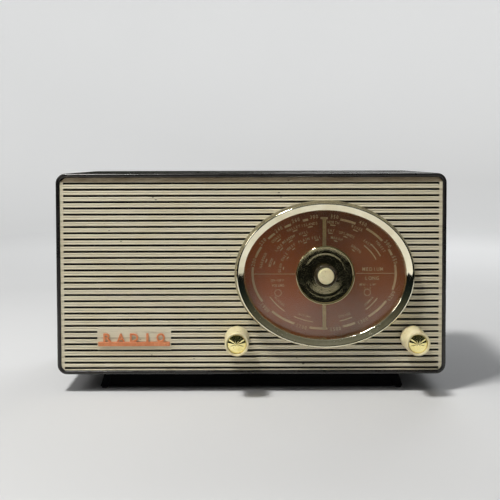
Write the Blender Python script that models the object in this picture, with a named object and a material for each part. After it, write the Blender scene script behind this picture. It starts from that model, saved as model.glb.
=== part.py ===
"""Tabletop valve radio: cabinet, louvred panel, elliptical dial, controls, chassis and loudspeaker.

Metres, +Z up. The front faces -Y and +X is to the right, seen from the front.
The origin is at the bottom centre of the whole radio's box.
"""

import math

import bmesh
import bpy

# Cabinet
CASE_WIDTH = 0.340
CASE_HEIGHT = 0.176
CASE_DEPTH = 0.150
CASE_CORNER = 0.0085
CASE_WALL = 0.0045
RIM_WIDTH = 0.0033
RIM_STEP = 0.0012
RIM_ROUND = 0.0010
FOOT_HEIGHT = 0.016
GAP = 0.0003

# Front panel: grooves, counted from the bottom, run across it and stop at the dial and the badge
PANEL_THICK = 0.0040
GROOVE_PITCH = 0.005417
GROOVE_HEIGHT = 0.0018
GROOVE_DEPTH = 0.0030
FIRST_GROOVE = 0.0102
TOP_GROOVE_MARGIN = 0.0087
EDGE_GROOVE = 0.0055
GROOVE_END_MARGIN = 0.0063
BADGE_FROM_SIDE = 0.0674
BADGE_WIDTH = 0.0626
BADGE_LOW = 0.0252
BADGE_HEIGHT = 0.0037
BADGE_THICK = 0.0012
PAD_WIDTH = 0.0644
PAD_LOW = 0.0216
PAD_HEIGHT = 0.0200

# Loudspeaker
SPEAKER_FROM_SIDE = 0.0933
SPEAKER_HEIGHT = 0.1009
SPEAKER_OPENING = 0.0620
RIB_SPACING = 0.0312
RIB_WIDTH = 0.0012
CLOTH_THICK = 0.0006
BAFFLE_THICK = 0.0050
BAFFLE_HOLE = 0.0540
BAFFLE_MARGIN = 0.0060
FLANGE_RADIUS = 0.0640
FLANGE_THICK = 0.0012
BASKET_DEPTH = 0.0320
BASKET_BACK_RADIUS = 0.0270
# Windows in the basket: start and end as shares of its depth, half width as a share of its back
BASKET_WINDOWS = (0.30, 0.75)
BASKET_WINDOW_SHARE = 0.60
CONE_RADIUS = 0.0520
CONE_THICK = 0.0008
# Dust cap over the cone's neck: share of the neck's radius, share of the basket's depth
CONE_CAP = ((0.00, 0.25), (0.80, 0.12))
MAGNET_RADIUS = 0.0230
MAGNET_LENGTH = 0.0220
SPEAKER_BOLT_CIRCLE = 0.0595

# Dial and tuning
DIAL_FROM_SIDE = 0.1060
DIAL_HEIGHT = 0.0877
BEZEL_HALF_WIDTH = 0.0772
BEZEL_HALF_HEIGHT = 0.0630
BEZEL_REACH = 0.0080
BEZEL_BAND = 0.0070
LIP_WIDTH = 0.0007
# Rounded front edge of the bezel: inwards from its outline, back from its front
BEZEL_BEAD = ((0.0002, 0.0012), (0.0008, 0.0002), (0.0014, 0.0000), (0.0020, 0.0003))
BAND_END_REACH = 0.0018
LIP_REACH = 0.0012
SLEEVE_OFFSET = 0.0042
SLEEVE_WALL = 0.0016
COLLAR_WIDTH = 0.0015
WINDOW_THICK = 0.0020
POINTER_SPACE = 0.0008
POINTER_THICK = 0.0008
POINTER_HALF_LENGTH = 0.0495
POINTER_WIDTH = 0.0032
PLATE_BEHIND_PANEL = 0.0007
PLATE_THICK = 0.0010
PLATE_MARGIN = 0.0010
SPINDLE_RADIUS = 0.0030
DISH_RADIUS = 0.0255
DISH_FRONT = 0.0066
DISH_HOLLOW = 0.0032
DISH_STEM_RADIUS = 0.0065
DISH_STEM_REACH = 0.0008
DISH_WALL = 0.0012
# Rolled edge of the dish: inwards from its outline, back from its front
DISH_EDGE = (
    (0.0020, 0.0020), (0.0002, 0.0014), (0.0000, 0.0006), (0.0003, 0.0000), (0.0011, 0.0000), (0.0019, 0.0006)
)
# Hollow of the dish: share of its radius, share of its depth
DISH_CURVE = ((0.80, 0.55), (0.62, 0.85))
BOSS_RADIUS = 0.0100
BOSS_FRONT = 0.0102
BOSS_ROUND = 0.0007
MOUTH_CHAMFER = 0.0004
CAP_RADIUS = 0.00685
CAP_FRONT = 0.0136
CAP_SOCKET = 0.0040
# Rounded edge of the cap: inwards from its outline, back from its front
CAP_EDGE = ((0.0000, 0.0012), (0.0005, 0.0004), (0.0014, 0.0001))

# Control knobs
KNOB_SPREAD = 0.0766
KNOB_HEIGHT = 0.0320
KNOB_REACH = 0.0250
KNOB_BASE_RADIUS = 0.01075
KNOB_TIP_RADIUS = 0.01020
KNOB_RIM = 0.0019
KNOB_STANDOFF = 0.0010
# Rounded tip of a control knob: inwards from its outline, back from its tip
KNOB_EDGE = ((0.0000, 0.0008), (0.0004, 0.0002), (0.0009, 0.0000))
INSERT_SEAT = 0.0030
INSERT_EDGE = 0.0009
INSERT_CONE = 0.0016
SPINDLE_GRIP = 0.0055

# Chassis and what stands on it
CHASSIS_LEFT_OF_DIAL = 0.0960
CHASSIS_WIDTH = 0.1900
CHASSIS_FRONT = 0.0140
CHASSIS_BACK_SPACE = 0.0018
CHASSIS_TOP = 0.0550
SHEET = 0.0012
FLANGE_WIDTH = 0.0140
CONTROL_RADIUS = 0.0110
CONTROL_LENGTH = 0.0150
BUSH_RADIUS = 0.0045
BUSH_LENGTH = 0.0035
GANG_FRONT = 0.0120
GANG_LENGTH = 0.0400
GANG_WIDTH = 0.0520
GANG_VANE_RADIUS = 0.0200
VANE_COUNT = 4
VANE_THICK = 0.0012
GANG_HUB_RADIUS = 0.0050
VALVE_RADIUS = 0.0095
VALVE_HEIGHT = 0.0480
# Dome of a valve: the last angle of its arc, its flattening, and the tip's share of the radius
DOME_ANGLE = 0.45 * math.pi
DOME_STEPS = 3
DOME_SHARE = 0.80
DOME_TIP = 0.08
HOLDER_RADIUS = 0.0115
HOLDER_HEIGHT = 0.0050
VALVE_ROW = 0.0940
VALVE_FIRST = 0.0200
VALVE_PITCH = 0.0420
VALVE_COUNT = 4
CAN_SIDE = 0.0220
CAN_HEIGHT = 0.0500
CAN_ROW = 0.0680
CAN_PLACES = (0.0320, 0.1340)
ROD_RADIUS = 0.0048
ROD_LENGTH = 0.1700
ROD_HEIGHT = 0.1500
ROD_FROM_BACK = 0.0080
STRUT_WIDTH = 0.0140
STRUT_THICK = 0.0020
COIL_THICK = 0.0022
COIL_ENDS = ((-0.70, -0.30), (0.35, 0.70))
SMOOTHER_PLACE = (0.1700, 0.0360)
SMOOTHER_RADIUS = 0.0135
SMOOTHER_HEIGHT = 0.0600
SMOOTHER_CHAMFER = (0.0010, 0.0020)
OUTPUT_PLACE = (0.0360, 0.0360)
CORE_SIZE = (0.0400, 0.0140, 0.0340)
BOBBIN_SIZE = (0.0240, 0.0300, 0.0220)
BOBBIN_LOW = 0.0060
LAMP_PLACE = (0.1380, 0.0300)
# Lamp holder and bulb: radius, height
LAMP_OUTLINE = (
    (0, 0), (0.0055, 0), (0.0055, 0.0160), (0.0035, 0.0180), (0.0052, 0.0240), (0.0035, 0.0290), (0, 0.0310)
)

# Back, feet and fixings
COVER_RIM = 0.0030
COVER_REBATE = 0.0050
COVER_THICK = 0.0025
POST_SIZE = 0.0100
POST_LENGTH = 0.0200
SCREW_RADIUS = 0.00175
SCREW_LENGTH = 0.0100
SCREW_HEAD_RADIUS = 0.0035
SCREW_HEAD_HEIGHT = 0.0018
SCREW_TOP_SHARE = 0.75
SCREW_SLOT = 0.0008
VENT_WIDTH = 0.0030
VENT_HEIGHT = 0.0340
VENT_PITCH = 0.0240
VENT_COUNT = 11
VENT_ROWS = (0.0850, 0.1350)
GROMMET_X = 0.1200
GROMMET_HEIGHT = 0.0240
GROMMET_BORE = 0.0035
GROMMET_WAIST = 0.0052
GROMMET_FLANGE = 0.0068
GROMMET_LIP = 0.0015
SOCKETS_X = 0.0300
SOCKETS_HEIGHT = 0.0240
SOCKETS_SIZE = (0.0440, 0.0120)
SOCKETS_DEPTH = 0.0080
SOCKET_RADIUS = 0.0018
SOCKET_BORE_SHARE = 0.80
SOCKET_PITCH = 0.0140
FOOT_FROM_SIDE = 0.0485
FOOT_TOP_WIDTH = 0.0095
FOOT_BOTTOM_WIDTH = 0.0070
FOOT_SPLAY = 0.0065
FOOT_SETBACK = 0.0120
PEG_RADIUS = 0.0030
PEG_INSET = 0.0250
STRIP_THICK = 0.0015
STRIP_MARGIN = 0.0010
# Skirt between the feet, held by tabs in the case's floor
SKIRT_THICK = 0.0040
SKIRT_CLEARANCE = 0.0018
TAB_FROM_MIDDLE = 0.0600
TAB_WIDTH = 0.0100
TAB_THICK = 0.0024
BOLT_RADIUS = 0.0020
BOLT_HEAD_RADIUS = 0.0040
BOLT_HEAD_HEIGHT = 0.0025
BOLT_INSET = 0.0450

# Depths are counted backwards from the panel's front face, heights upwards from the case's underside
PANEL_Y = (KNOB_REACH + RIM_STEP - CASE_DEPTH) / 2
CASE_BACK = CASE_DEPTH - RIM_STEP
COVER_SEAT = CASE_BACK - COVER_REBATE
SPEAKER_X = SPEAKER_FROM_SIDE - CASE_WIDTH / 2
BADGE_X = BADGE_FROM_SIDE - CASE_WIDTH / 2
DIAL_X = CASE_WIDTH / 2 - DIAL_FROM_SIDE
KNOB_X = (DIAL_X - KNOB_SPREAD, DIAL_X + KNOB_SPREAD)
CHASSIS_LEFT = DIAL_X - CHASSIS_LEFT_OF_DIAL
CHASSIS_BACK = COVER_SEAT - POST_LENGTH - CHASSIS_BACK_SPACE
FOOT_INNER_TOP = CASE_WIDTH / 2 - FOOT_FROM_SIDE
PLATE_DEPTH = PANEL_THICK + PLATE_BEHIND_PANEL
SIDES = {"left": -1, "right": 1}

FINISHES = {
    "black_plastic": ((0.012, 0.010, 0.011), 0.35, 0.0),
    "cream_plastic": ((0.62, 0.56, 0.42), 0.45, 0.0),
    "coral_paint": ((0.58, 0.19, 0.10), 0.45, 0.0),
    "polished_metal": ((0.42, 0.42, 0.36), 0.15, 1.0),
    "clear_plastic": ((0.80, 0.78, 0.70), 0.08, 0.0),
    "dial_print": ((0.16, 0.06, 0.025), 0.50, 0.0),
    "gold_paint": ((0.45, 0.33, 0.17), 0.40, 0.0),
    "gilt": ((0.60, 0.45, 0.16), 0.18, 1.0),
    "steel": ((0.45, 0.45, 0.44), 0.40, 1.0),
    "aluminium": ((0.62, 0.62, 0.62), 0.35, 1.0),
    "brown_plastic": ((0.10, 0.045, 0.02), 0.40, 0.0),
    "cloth": ((0.015, 0.013, 0.012), 0.95, 0.0),
    "board": ((0.18, 0.10, 0.05), 0.85, 0.0),
    "paper": ((0.05, 0.045, 0.04), 0.90, 0.0),
    "iron": ((0.14, 0.14, 0.14), 0.60, 0.6),
    "glass": ((0.75, 0.78, 0.78), 0.05, 0.0),
    "ferrite": ((0.05, 0.05, 0.055), 0.50, 0.0),
    "rubber": ((0.02, 0.02, 0.02), 0.80, 0.0),
}


def clear_scene():
    for obj in list(bpy.data.objects):
        bpy.data.objects.remove(obj, do_unlink=True)


def behind(depth):
    """World y of a depth behind the panel's front face."""
    return PANEL_Y + depth


def above(height):
    """World z of a height over the case's underside."""
    return FOOT_HEIGHT + height


def finish(name):
    found = bpy.data.materials.get(name)
    if found:
        return found
    colour, roughness, metallic = FINISHES[name]
    made = bpy.data.materials.new(name)
    made.use_nodes = True
    shader = made.node_tree.nodes["Principled BSDF"]
    shader.inputs["Base Color"].default_value = (*colour, 1.0)
    shader.inputs["Roughness"].default_value = roughness
    shader.inputs["Metallic"].default_value = metallic
    return made


def link(name, shape, parent=None, place=(0, 0, 0)):
    """Turns a bmesh into a scene object, with its faces pointing out."""
    bmesh.ops.recalc_face_normals(shape, faces=shape.faces)
    mesh = bpy.data.meshes.new(name)
    shape.to_mesh(mesh)
    shape.free()
    obj = bpy.data.objects.new(name, mesh)
    bpy.context.scene.collection.objects.link(obj)
    obj.parent = parent
    obj.location = place
    return obj


def piece(name, shape, finish_name, place=(0, 0, 0), parent=None, smooth=False):
    obj = link(name, shape, parent, place)
    obj.data.materials.append(finish(finish_name))
    if smooth:
        obj.data.shade_smooth()
        obj.data.set_sharp_from_angle(angle=math.radians(35))
    return obj


def shaped(obj, operation, shape):
    """Cuts, joins or keeps with a hidden helper that is drawn in the object's own frame."""
    helper = link(f"{obj.name}_{operation.lower()}", shape, parent=obj)
    helper.hide_render = True
    helper.display_type = "WIRE"
    modifier = obj.modifiers.new(helper.name, "BOOLEAN")
    modifier.operation = operation
    modifier.solver = "EXACT"
    modifier.object = helper
    return helper


def cut(obj, shape):
    return shaped(obj, "DIFFERENCE", shape)


def join(obj, shape):
    return shaped(obj, "UNION", shape)


def axis_empty(name, x, height):
    """Parent of a control's turning pieces, on its axis at the panel's front face."""
    empty = bpy.data.objects.new(name, None)
    bpy.context.scene.collection.objects.link(empty)
    empty.location = (x, PANEL_Y, above(height))
    return empty


def ellipse(half_width, half_height, count=48, x=0, z=0):
    angles = [2 * math.pi * i / count for i in range(count)]
    return [(x + half_width * math.cos(a), z + half_height * math.sin(a)) for a in angles]


def rectangle(low_x, low_z, high_x, high_z):
    return [(low_x, low_z), (high_x, low_z), (high_x, high_z), (low_x, high_z)]


def rounded(width, height, radius, low_z=0, count=5):
    """Outline of a rectangle with round corners, centred on x = 0."""
    points = []
    for corner, (side_x, side_z) in enumerate(((1, 1), (-1, 1), (-1, -1), (1, -1))):
        centre_x = side_x * (width / 2 - radius)
        centre_z = low_z + height / 2 + side_z * (height / 2 - radius)
        for step in range(count + 1):
            angle = math.pi / 2 * (corner + step / count)
            points.append((centre_x + radius * math.cos(angle), centre_z + radius * math.sin(angle)))
    return points


def placed(axis, u, v, w):
    """Point of an outline (u, v) at w along the axis."""
    return {"X": (w, u, v), "Y": (u, w, v), "Z": (u, v, w)}[axis]


def prism(outline, start, end, axis="Y", into=None):
    """A closed outline carried from start to end along an axis."""
    shape = into or bmesh.new()
    near = [shape.verts.new(placed(axis, u, v, start)) for u, v in outline]
    far = [shape.verts.new(placed(axis, u, v, end)) for u, v in outline]
    shape.faces.new(near)
    shape.faces.new(far)
    for i in range(len(outline)):
        j = (i + 1) % len(outline)
        shape.faces.new((near[i], near[j], far[j], far[i]))
    return shape


def block(low, high, into=None):
    """A box between two corners."""
    return prism(rectangle(low[0], low[2], high[0], high[2]), low[1], high[1], "Y", into)


def turned(profile, axis="Y", steps=32, closed=False):
    """A profile of (radius, distance along the axis) turned once round it. A closed one keeps a bore."""
    shape = bmesh.new()
    points = [shape.verts.new(placed(axis, radius, 0, along)) for radius, along in profile]
    pairs = list(zip(points, points[1:]))
    if closed:
        pairs.append((points[-1], points[0]))
    edges = [shape.edges.new(pair) for pair in pairs]
    direction = placed(axis, 0, 0, 1)
    bmesh.ops.spin(
        shape, geom=points + edges, axis=direction, cent=(0, 0, 0), angle=2 * math.pi, steps=steps
    )
    bmesh.ops.remove_doubles(shape, verts=shape.verts, dist=1e-6)
    return shape


def cylinder(radius, start, end, axis="Y", steps=32):
    return turned([(0, start), (radius, start), (radius, end), (0, end)], axis, steps)


def moved(shape, x=0, y=0, z=0):
    bmesh.ops.translate(shape, verts=shape.verts, vec=(x, y, z))
    return shape


def merged(shapes):
    """Several separate shapes as one bmesh, for a helper that cuts in many places."""
    whole = bmesh.new()
    for shape in shapes:
        copy = bpy.data.meshes.new("copy")
        shape.to_mesh(copy)
        shape.free()
        whole.from_mesh(copy)
        bpy.data.meshes.remove(copy)
    return whole


def case_outline(inset):
    """The cabinet's outline in world x and z, moved inwards."""
    radius = max(CASE_CORNER - inset, CASE_CORNER / 4)
    width = CASE_WIDTH - 2 * inset
    return rounded(width, CASE_HEIGHT - 2 * inset, radius, above(inset))


def post_centres():
    """World x and z of the four posts that take the rear cover's screws."""
    reach_x = CASE_WIDTH / 2 - CASE_WALL - POST_SIZE / 2
    reach_z = CASE_HEIGHT / 2 - CASE_WALL - POST_SIZE / 2
    middle = above(CASE_HEIGHT / 2)
    return [(sx * reach_x, middle + sz * reach_z) for sx in (-1, 1) for sz in (-1, 1)]


def peg_places(side):
    """World x and y of a foot's two pegs."""
    x = side * (FOOT_INNER_TOP + FOOT_TOP_WIDTH / 2)
    front = behind(FOOT_SETBACK + PEG_INSET)
    back = behind(CASE_BACK - FOOT_SETBACK - PEG_INSET)
    return [(x, front), (x, back)]


def chassis_bolt_places():
    """World x and y of the two bolts that hold the chassis to the case's floor."""
    front = behind(CHASSIS_FRONT + FLANGE_WIDTH / 2)
    back = behind(CHASSIS_BACK - FLANGE_WIDTH / 2)
    return [(CHASSIS_LEFT + BOLT_INSET, front), (CHASSIS_LEFT + CHASSIS_WIDTH - BOLT_INSET, back)]


def skirt_tabs(growth, low_z, high_z):
    """The skirt's two tabs, grown all round to cut their slots."""
    middle = behind(FOOT_SETBACK + SKIRT_THICK / 2)
    half_x, half_y = TAB_WIDTH / 2 + growth, TAB_THICK / 2 + growth
    tabs = []
    for side in SIDES.values():
        x = side * TAB_FROM_MIDDLE
        tabs.append(block((x - half_x, middle - half_y, low_z), (x + half_x, middle + half_y, high_z)))
    return tabs


def make_posts(shell):
    """Square posts in the rear corners, drawn out to the middle of the case's wall."""
    half = POST_SIZE / 2
    start, end = behind(COVER_SEAT - POST_LENGTH), behind(COVER_SEAT)
    posts = []
    for x, z in post_centres():
        out_x = x + math.copysign(half + CASE_WALL, x)
        out_z = z + math.copysign(half + CASE_WALL, z - above(CASE_HEIGHT / 2))
        in_x = x - math.copysign(half, x)
        in_z = z - math.copysign(half, z - above(CASE_HEIGHT / 2))
        low = (min(in_x, out_x), start, min(in_z, out_z))
        posts.append(block(low, (max(in_x, out_x), end, max(in_z, out_z))))
    helper = join(shell, merged(posts))
    middle_of_wall = prism(case_outline(CASE_WALL / 2), start - POST_LENGTH, end + POST_LENGTH)
    shaped(helper, "INTERSECT", middle_of_wall)


def make_case():
    shell = piece(
        "cabinet_shell", prism(case_outline(0), behind(-RIM_STEP), behind(CASE_BACK)), "black_plastic"
    )
    edge = shell.modifiers.new("rim_round", "BEVEL")
    edge.width = RIM_ROUND
    edge.segments = 2
    edge.limit_method = "ANGLE"
    edge.angle_limit = math.radians(60)
    past = CASE_DEPTH / 10
    cut(shell, prism(case_outline(CASE_WALL), behind(-RIM_STEP - past), behind(CASE_BACK + past)))
    cut(shell, prism(case_outline(RIM_WIDTH), behind(-RIM_STEP - past), behind(PANEL_THICK + GAP)))
    cut(shell, prism(case_outline(COVER_RIM), behind(COVER_SEAT), behind(CASE_BACK + past)))
    make_posts(shell)
    holes = []
    for x, z in post_centres():
        deepest = behind(COVER_SEAT - SCREW_LENGTH - GAP)
        hole = cylinder(SCREW_RADIUS + GAP, deepest, behind(CASE_BACK), steps=12)
        holes.append(moved(hole, x=x, z=z))
    floor = (above(-CASE_WALL), above(2 * CASE_WALL))
    for side in SIDES.values():
        for x, y in peg_places(side):
            holes.append(moved(cylinder(PEG_RADIUS + GAP, *floor, axis="Z", steps=16), x=x, y=y))
    for x, y in chassis_bolt_places():
        holes.append(moved(cylinder(BOLT_RADIUS + GAP, *floor, axis="Z", steps=12), x=x, y=y))
    holes += skirt_tabs(GAP, *floor)
    cut(shell, merged(holes))


def groove_heights():
    """Heights of the groove at the panel's edge and of the even rows above it."""
    count = 1 + round((CASE_HEIGHT - TOP_GROOVE_MARGIN - FIRST_GROOVE) / GROOVE_PITCH)
    return [EDGE_GROOVE] + [FIRST_GROOVE + i * GROOVE_PITCH for i in range(count)]


def groove_bars(front, back, heights, half_length):
    bars = []
    for height in heights:
        middle = above(height)
        low = (-half_length, behind(front), middle - GROOVE_HEIGHT / 2)
        high = (half_length, behind(back), middle + GROOVE_HEIGHT / 2)
        bars.append(block(low, high))
    return merged(bars)


def make_panel():
    inset = RIM_WIDTH + GAP
    sheet = prism(case_outline(inset), behind(0), behind(PANEL_THICK))
    panel = piece("front_grille", sheet, "cream_plastic")
    half_length = CASE_WIDTH / 2 - GROOVE_END_MARGIN
    reach = PANEL_THICK
    grooves = cut(panel, groove_bars(-reach, GROOVE_DEPTH, groove_heights(), half_length))
    collar = ellipse(
        BEZEL_HALF_WIDTH + COLLAR_WIDTH, BEZEL_HALF_HEIGHT + COLLAR_WIDTH, x=DIAL_X, z=above(DIAL_HEIGHT)
    )
    cut(grooves, prism(collar, behind(-2 * reach), behind(2 * reach)))
    low = (BADGE_X - PAD_WIDTH / 2, behind(-2 * reach), above(PAD_LOW))
    high = (BADGE_X + PAD_WIDTH / 2, behind(2 * reach), above(PAD_LOW + PAD_HEIGHT))
    cut(grooves, block(low, high))

    open_heights = [h for h in groove_heights() if abs(h - SPEAKER_HEIGHT) < SPEAKER_OPENING]
    slots = cut(panel, groove_bars(GROOVE_DEPTH / 2, PANEL_THICK + reach, open_heights, half_length))
    opening = ellipse(SPEAKER_OPENING, SPEAKER_OPENING, 32, SPEAKER_X, above(SPEAKER_HEIGHT))
    shaped(slots, "INTERSECT", prism(opening, behind(-reach), behind(3 * reach)))
    ribs = []
    for place in (-1, 0, 1):
        x = SPEAKER_X + place * RIB_SPACING
        low = (x - RIB_WIDTH / 2, behind(-reach), above(0))
        high = (x + RIB_WIDTH / 2, behind(3 * reach), above(CASE_HEIGHT))
        ribs.append(block(low, high))
    cut(slots, merged(ribs))

    inner = SLEEVE_OFFSET - GAP
    half_width, half_height = BEZEL_HALF_WIDTH - inner, BEZEL_HALF_HEIGHT - inner
    aperture = ellipse(half_width, half_height, x=DIAL_X, z=above(DIAL_HEIGHT))
    cut(panel, prism(aperture, behind(-reach), behind(2 * reach)))
    holes = [cylinder(SPINDLE_RADIUS + GAP, behind(-reach), behind(2 * reach), steps=16) for _ in KNOB_X]
    cut(panel, merged([moved(hole, x=x, z=above(KNOB_HEIGHT)) for hole, x in zip(holes, KNOB_X)]))


def make_badge():
    low = (BADGE_X - BADGE_WIDTH / 2, behind(-GAP - BADGE_THICK), above(BADGE_LOW))
    high = (BADGE_X + BADGE_WIDTH / 2, behind(-GAP), above(BADGE_LOW + BADGE_HEIGHT))
    piece("badge_bar", block(low, high), "coral_paint")


def make_bezel():
    """A ring whose profile is offset inwards from the outer ellipse."""
    band_end = BEZEL_BAND + LIP_WIDTH
    seat = SLEEVE_OFFSET + SLEEVE_WALL
    lip_back = WINDOW_THICK / 5
    sleeve_end = PLATE_DEPTH - GAP
    profile = [(0, -GAP)]
    profile += [(inwards, back - BEZEL_REACH) for inwards, back in BEZEL_BEAD]
    profile += [
        (BEZEL_BAND, -BAND_END_REACH),
        (band_end, -LIP_REACH),
        (band_end, -lip_back),
        (seat, -lip_back),
        (seat, sleeve_end),
        (SLEEVE_OFFSET, sleeve_end),
        (SLEEVE_OFFSET, -GAP),
    ]
    section = [(BEZEL_HALF_HEIGHT - inwards, depth) for inwards, depth in profile]
    ring = turned(section, steps=48, closed=True)
    for vert in ring.verts:
        radius = math.hypot(vert.co.x, vert.co.z)
        vert.co.x *= 1 + (BEZEL_HALF_WIDTH - BEZEL_HALF_HEIGHT) / radius
    place = (DIAL_X, PANEL_Y, above(DIAL_HEIGHT))
    piece("dial_bezel", ring, "polished_metal", place, smooth=True)


def make_window_and_plate():
    place = (DIAL_X, PANEL_Y, above(DIAL_HEIGHT))
    seat = SLEEVE_OFFSET + SLEEVE_WALL + GAP
    front = GAP - WINDOW_THICK / 5
    outline = ellipse(BEZEL_HALF_WIDTH - seat, BEZEL_HALF_HEIGHT - seat)
    hole = SPINDLE_RADIUS + 2 * GAP
    window = piece("dial_window", prism(outline, front, front + WINDOW_THICK), "clear_plastic", place)
    cut(window, cylinder(hole, front - WINDOW_THICK, front + 2 * WINDOW_THICK, steps=24))
    reach = SLEEVE_OFFSET - PLATE_MARGIN
    outline = ellipse(BEZEL_HALF_WIDTH - reach, BEZEL_HALF_HEIGHT - reach)
    sheet = prism(outline, PLATE_DEPTH, PLATE_DEPTH + PLATE_THICK)
    plate = piece("dial_scale", sheet, "dial_print", place)
    cut(plate, cylinder(hole, 0, 2 * PLATE_DEPTH, steps=24))


def make_tuning():
    """Knob, pointer, spindle and moving vanes, which turn together on the dial's axis."""
    axis = axis_empty("tuning_axis", DIAL_X, DIAL_HEIGHT)
    bore = SPINDLE_RADIUS + GAP
    dish_seat = DISH_FRONT - DISH_HOLLOW
    dish = [
        (bore, -DISH_STEM_REACH),
        (DISH_STEM_RADIUS, -DISH_STEM_REACH),
        (DISH_STEM_RADIUS, DISH_WALL - dish_seat),
    ]
    dish += [(DISH_RADIUS - inwards, back - DISH_FRONT) for inwards, back in DISH_EDGE]
    dish += [(DISH_RADIUS * share, depth * DISH_HOLLOW - DISH_FRONT) for share, depth in DISH_CURVE]
    dish += [(BOSS_RADIUS + GAP, -dish_seat), (bore, -dish_seat)]
    piece("tuning_dish", turned(dish, steps=36, closed=True), "gilt", parent=axis, smooth=True)
    boss_back = dish_seat + GAP
    socket = CAP_RADIUS + GAP
    boss = [
        (bore, -boss_back),
        (BOSS_RADIUS, -boss_back),
        (BOSS_RADIUS, BOSS_ROUND - BOSS_FRONT),
        (BOSS_RADIUS - BOSS_ROUND, -BOSS_FRONT),
        (socket + MOUTH_CHAMFER, -BOSS_FRONT),
        (socket, MOUTH_CHAMFER - BOSS_FRONT),
        (socket, -BOSS_FRONT + CAP_SOCKET),
        (bore, -BOSS_FRONT + CAP_SOCKET),
    ]
    piece("tuning_boss", turned(boss, steps=24, closed=True), "clear_plastic", parent=axis, smooth=True)
    cap_back = BOSS_FRONT - CAP_SOCKET + GAP
    cap = [(0, -cap_back), (CAP_RADIUS, -cap_back)]
    cap += [(CAP_RADIUS - inwards, back - CAP_FRONT) for inwards, back in CAP_EDGE]
    cap.append((0, -CAP_FRONT))
    piece("tuning_cap", turned(cap, steps=24), "cream_plastic", parent=axis, smooth=True)

    start = GAP - WINDOW_THICK / 5 + WINDOW_THICK + POINTER_SPACE
    bar = rectangle(-POINTER_WIDTH / 2, -POINTER_HALF_LENGTH, POINTER_WIDTH / 2, POINTER_HALF_LENGTH)
    pointer = piece("pointer", prism(bar, start, start + POINTER_THICK), "gold_paint", parent=axis)
    join(pointer, cylinder(SPINDLE_RADIUS * 2, start, start + POINTER_THICK, steps=24))
    cut(pointer, cylinder(bore, start - POINTER_THICK, start + 2 * POINTER_THICK, steps=24))

    spindle_end = GANG_FRONT + GANG_LENGTH + GAP
    front = cap_back - GAP
    spindle = cylinder(SPINDLE_RADIUS, -front, spindle_end, steps=20)
    piece("tuning_spindle", spindle, "steel", parent=axis, smooth=True)
    make_rotor(axis, bore)


def vane_depths():
    """Middle depths of the moving vanes; each fixed vane is half a pitch behind one."""
    pitch = (GANG_LENGTH - 2 * SHEET) / (VANE_COUNT + 0.5)
    return [GANG_FRONT + SHEET + pitch * (i + 0.5) for i in range(VANE_COUNT)], pitch


def make_rotor(axis, bore):
    depths, _ = vane_depths()
    half = VANE_THICK / 2
    ends = (GANG_FRONT + SHEET + GAP, GANG_FRONT + GANG_LENGTH - SHEET - GAP)
    tube = [(bore, ends[0]), (GANG_HUB_RADIUS, ends[0]), (GANG_HUB_RADIUS, ends[1]), (bore, ends[1])]
    rotor = piece("gang_rotor", turned(tube, steps=16, closed=True), "aluminium", parent=axis)
    inner = (bore + GANG_HUB_RADIUS) / 2
    arc = [math.pi * (i / 10 - 0.5) for i in range(11)]
    outline = [(GANG_VANE_RADIUS * math.cos(a), GANG_VANE_RADIUS * math.sin(a)) for a in arc]
    outline += [(inner * math.cos(a), inner * math.sin(a)) for a in reversed(arc)]
    join(rotor, merged([prism(outline, depth - half, depth + half) for depth in depths]))


def make_gang_frame():
    """Tuning capacitor frame: base, two end plates and the fixed vanes below the axis."""
    depths, pitch = vane_depths()
    base_z = CHASSIS_TOP + GAP - DIAL_HEIGHT
    half = GANG_WIDTH / 2
    top = GANG_HUB_RADIUS * 3
    back = GANG_FRONT + GANG_LENGTH
    place = (DIAL_X, PANEL_Y, above(DIAL_HEIGHT))
    base = block((-half, GANG_FRONT, base_z), (half, back, base_z + 2 * SHEET))
    frame = piece("gang_frame", base, "aluminium", place)
    for start in (GANG_FRONT, back - SHEET):
        join(frame, block((-half, start, base_z + SHEET / 2), (half, start + SHEET, top)))
    vanes = []
    for depth in depths:
        start = depth + (pitch - VANE_THICK) / 2
        low = (-GANG_VANE_RADIUS, start, base_z + SHEET / 2)
        vanes.append(block(low, (GANG_VANE_RADIUS, start + VANE_THICK, -GANG_HUB_RADIUS - 2 * GAP)))
    join(frame, merged(vanes))
    cut(frame, cylinder(SPINDLE_RADIUS + GAP, GANG_FRONT - SHEET, back + SHEET, steps=20))


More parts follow.
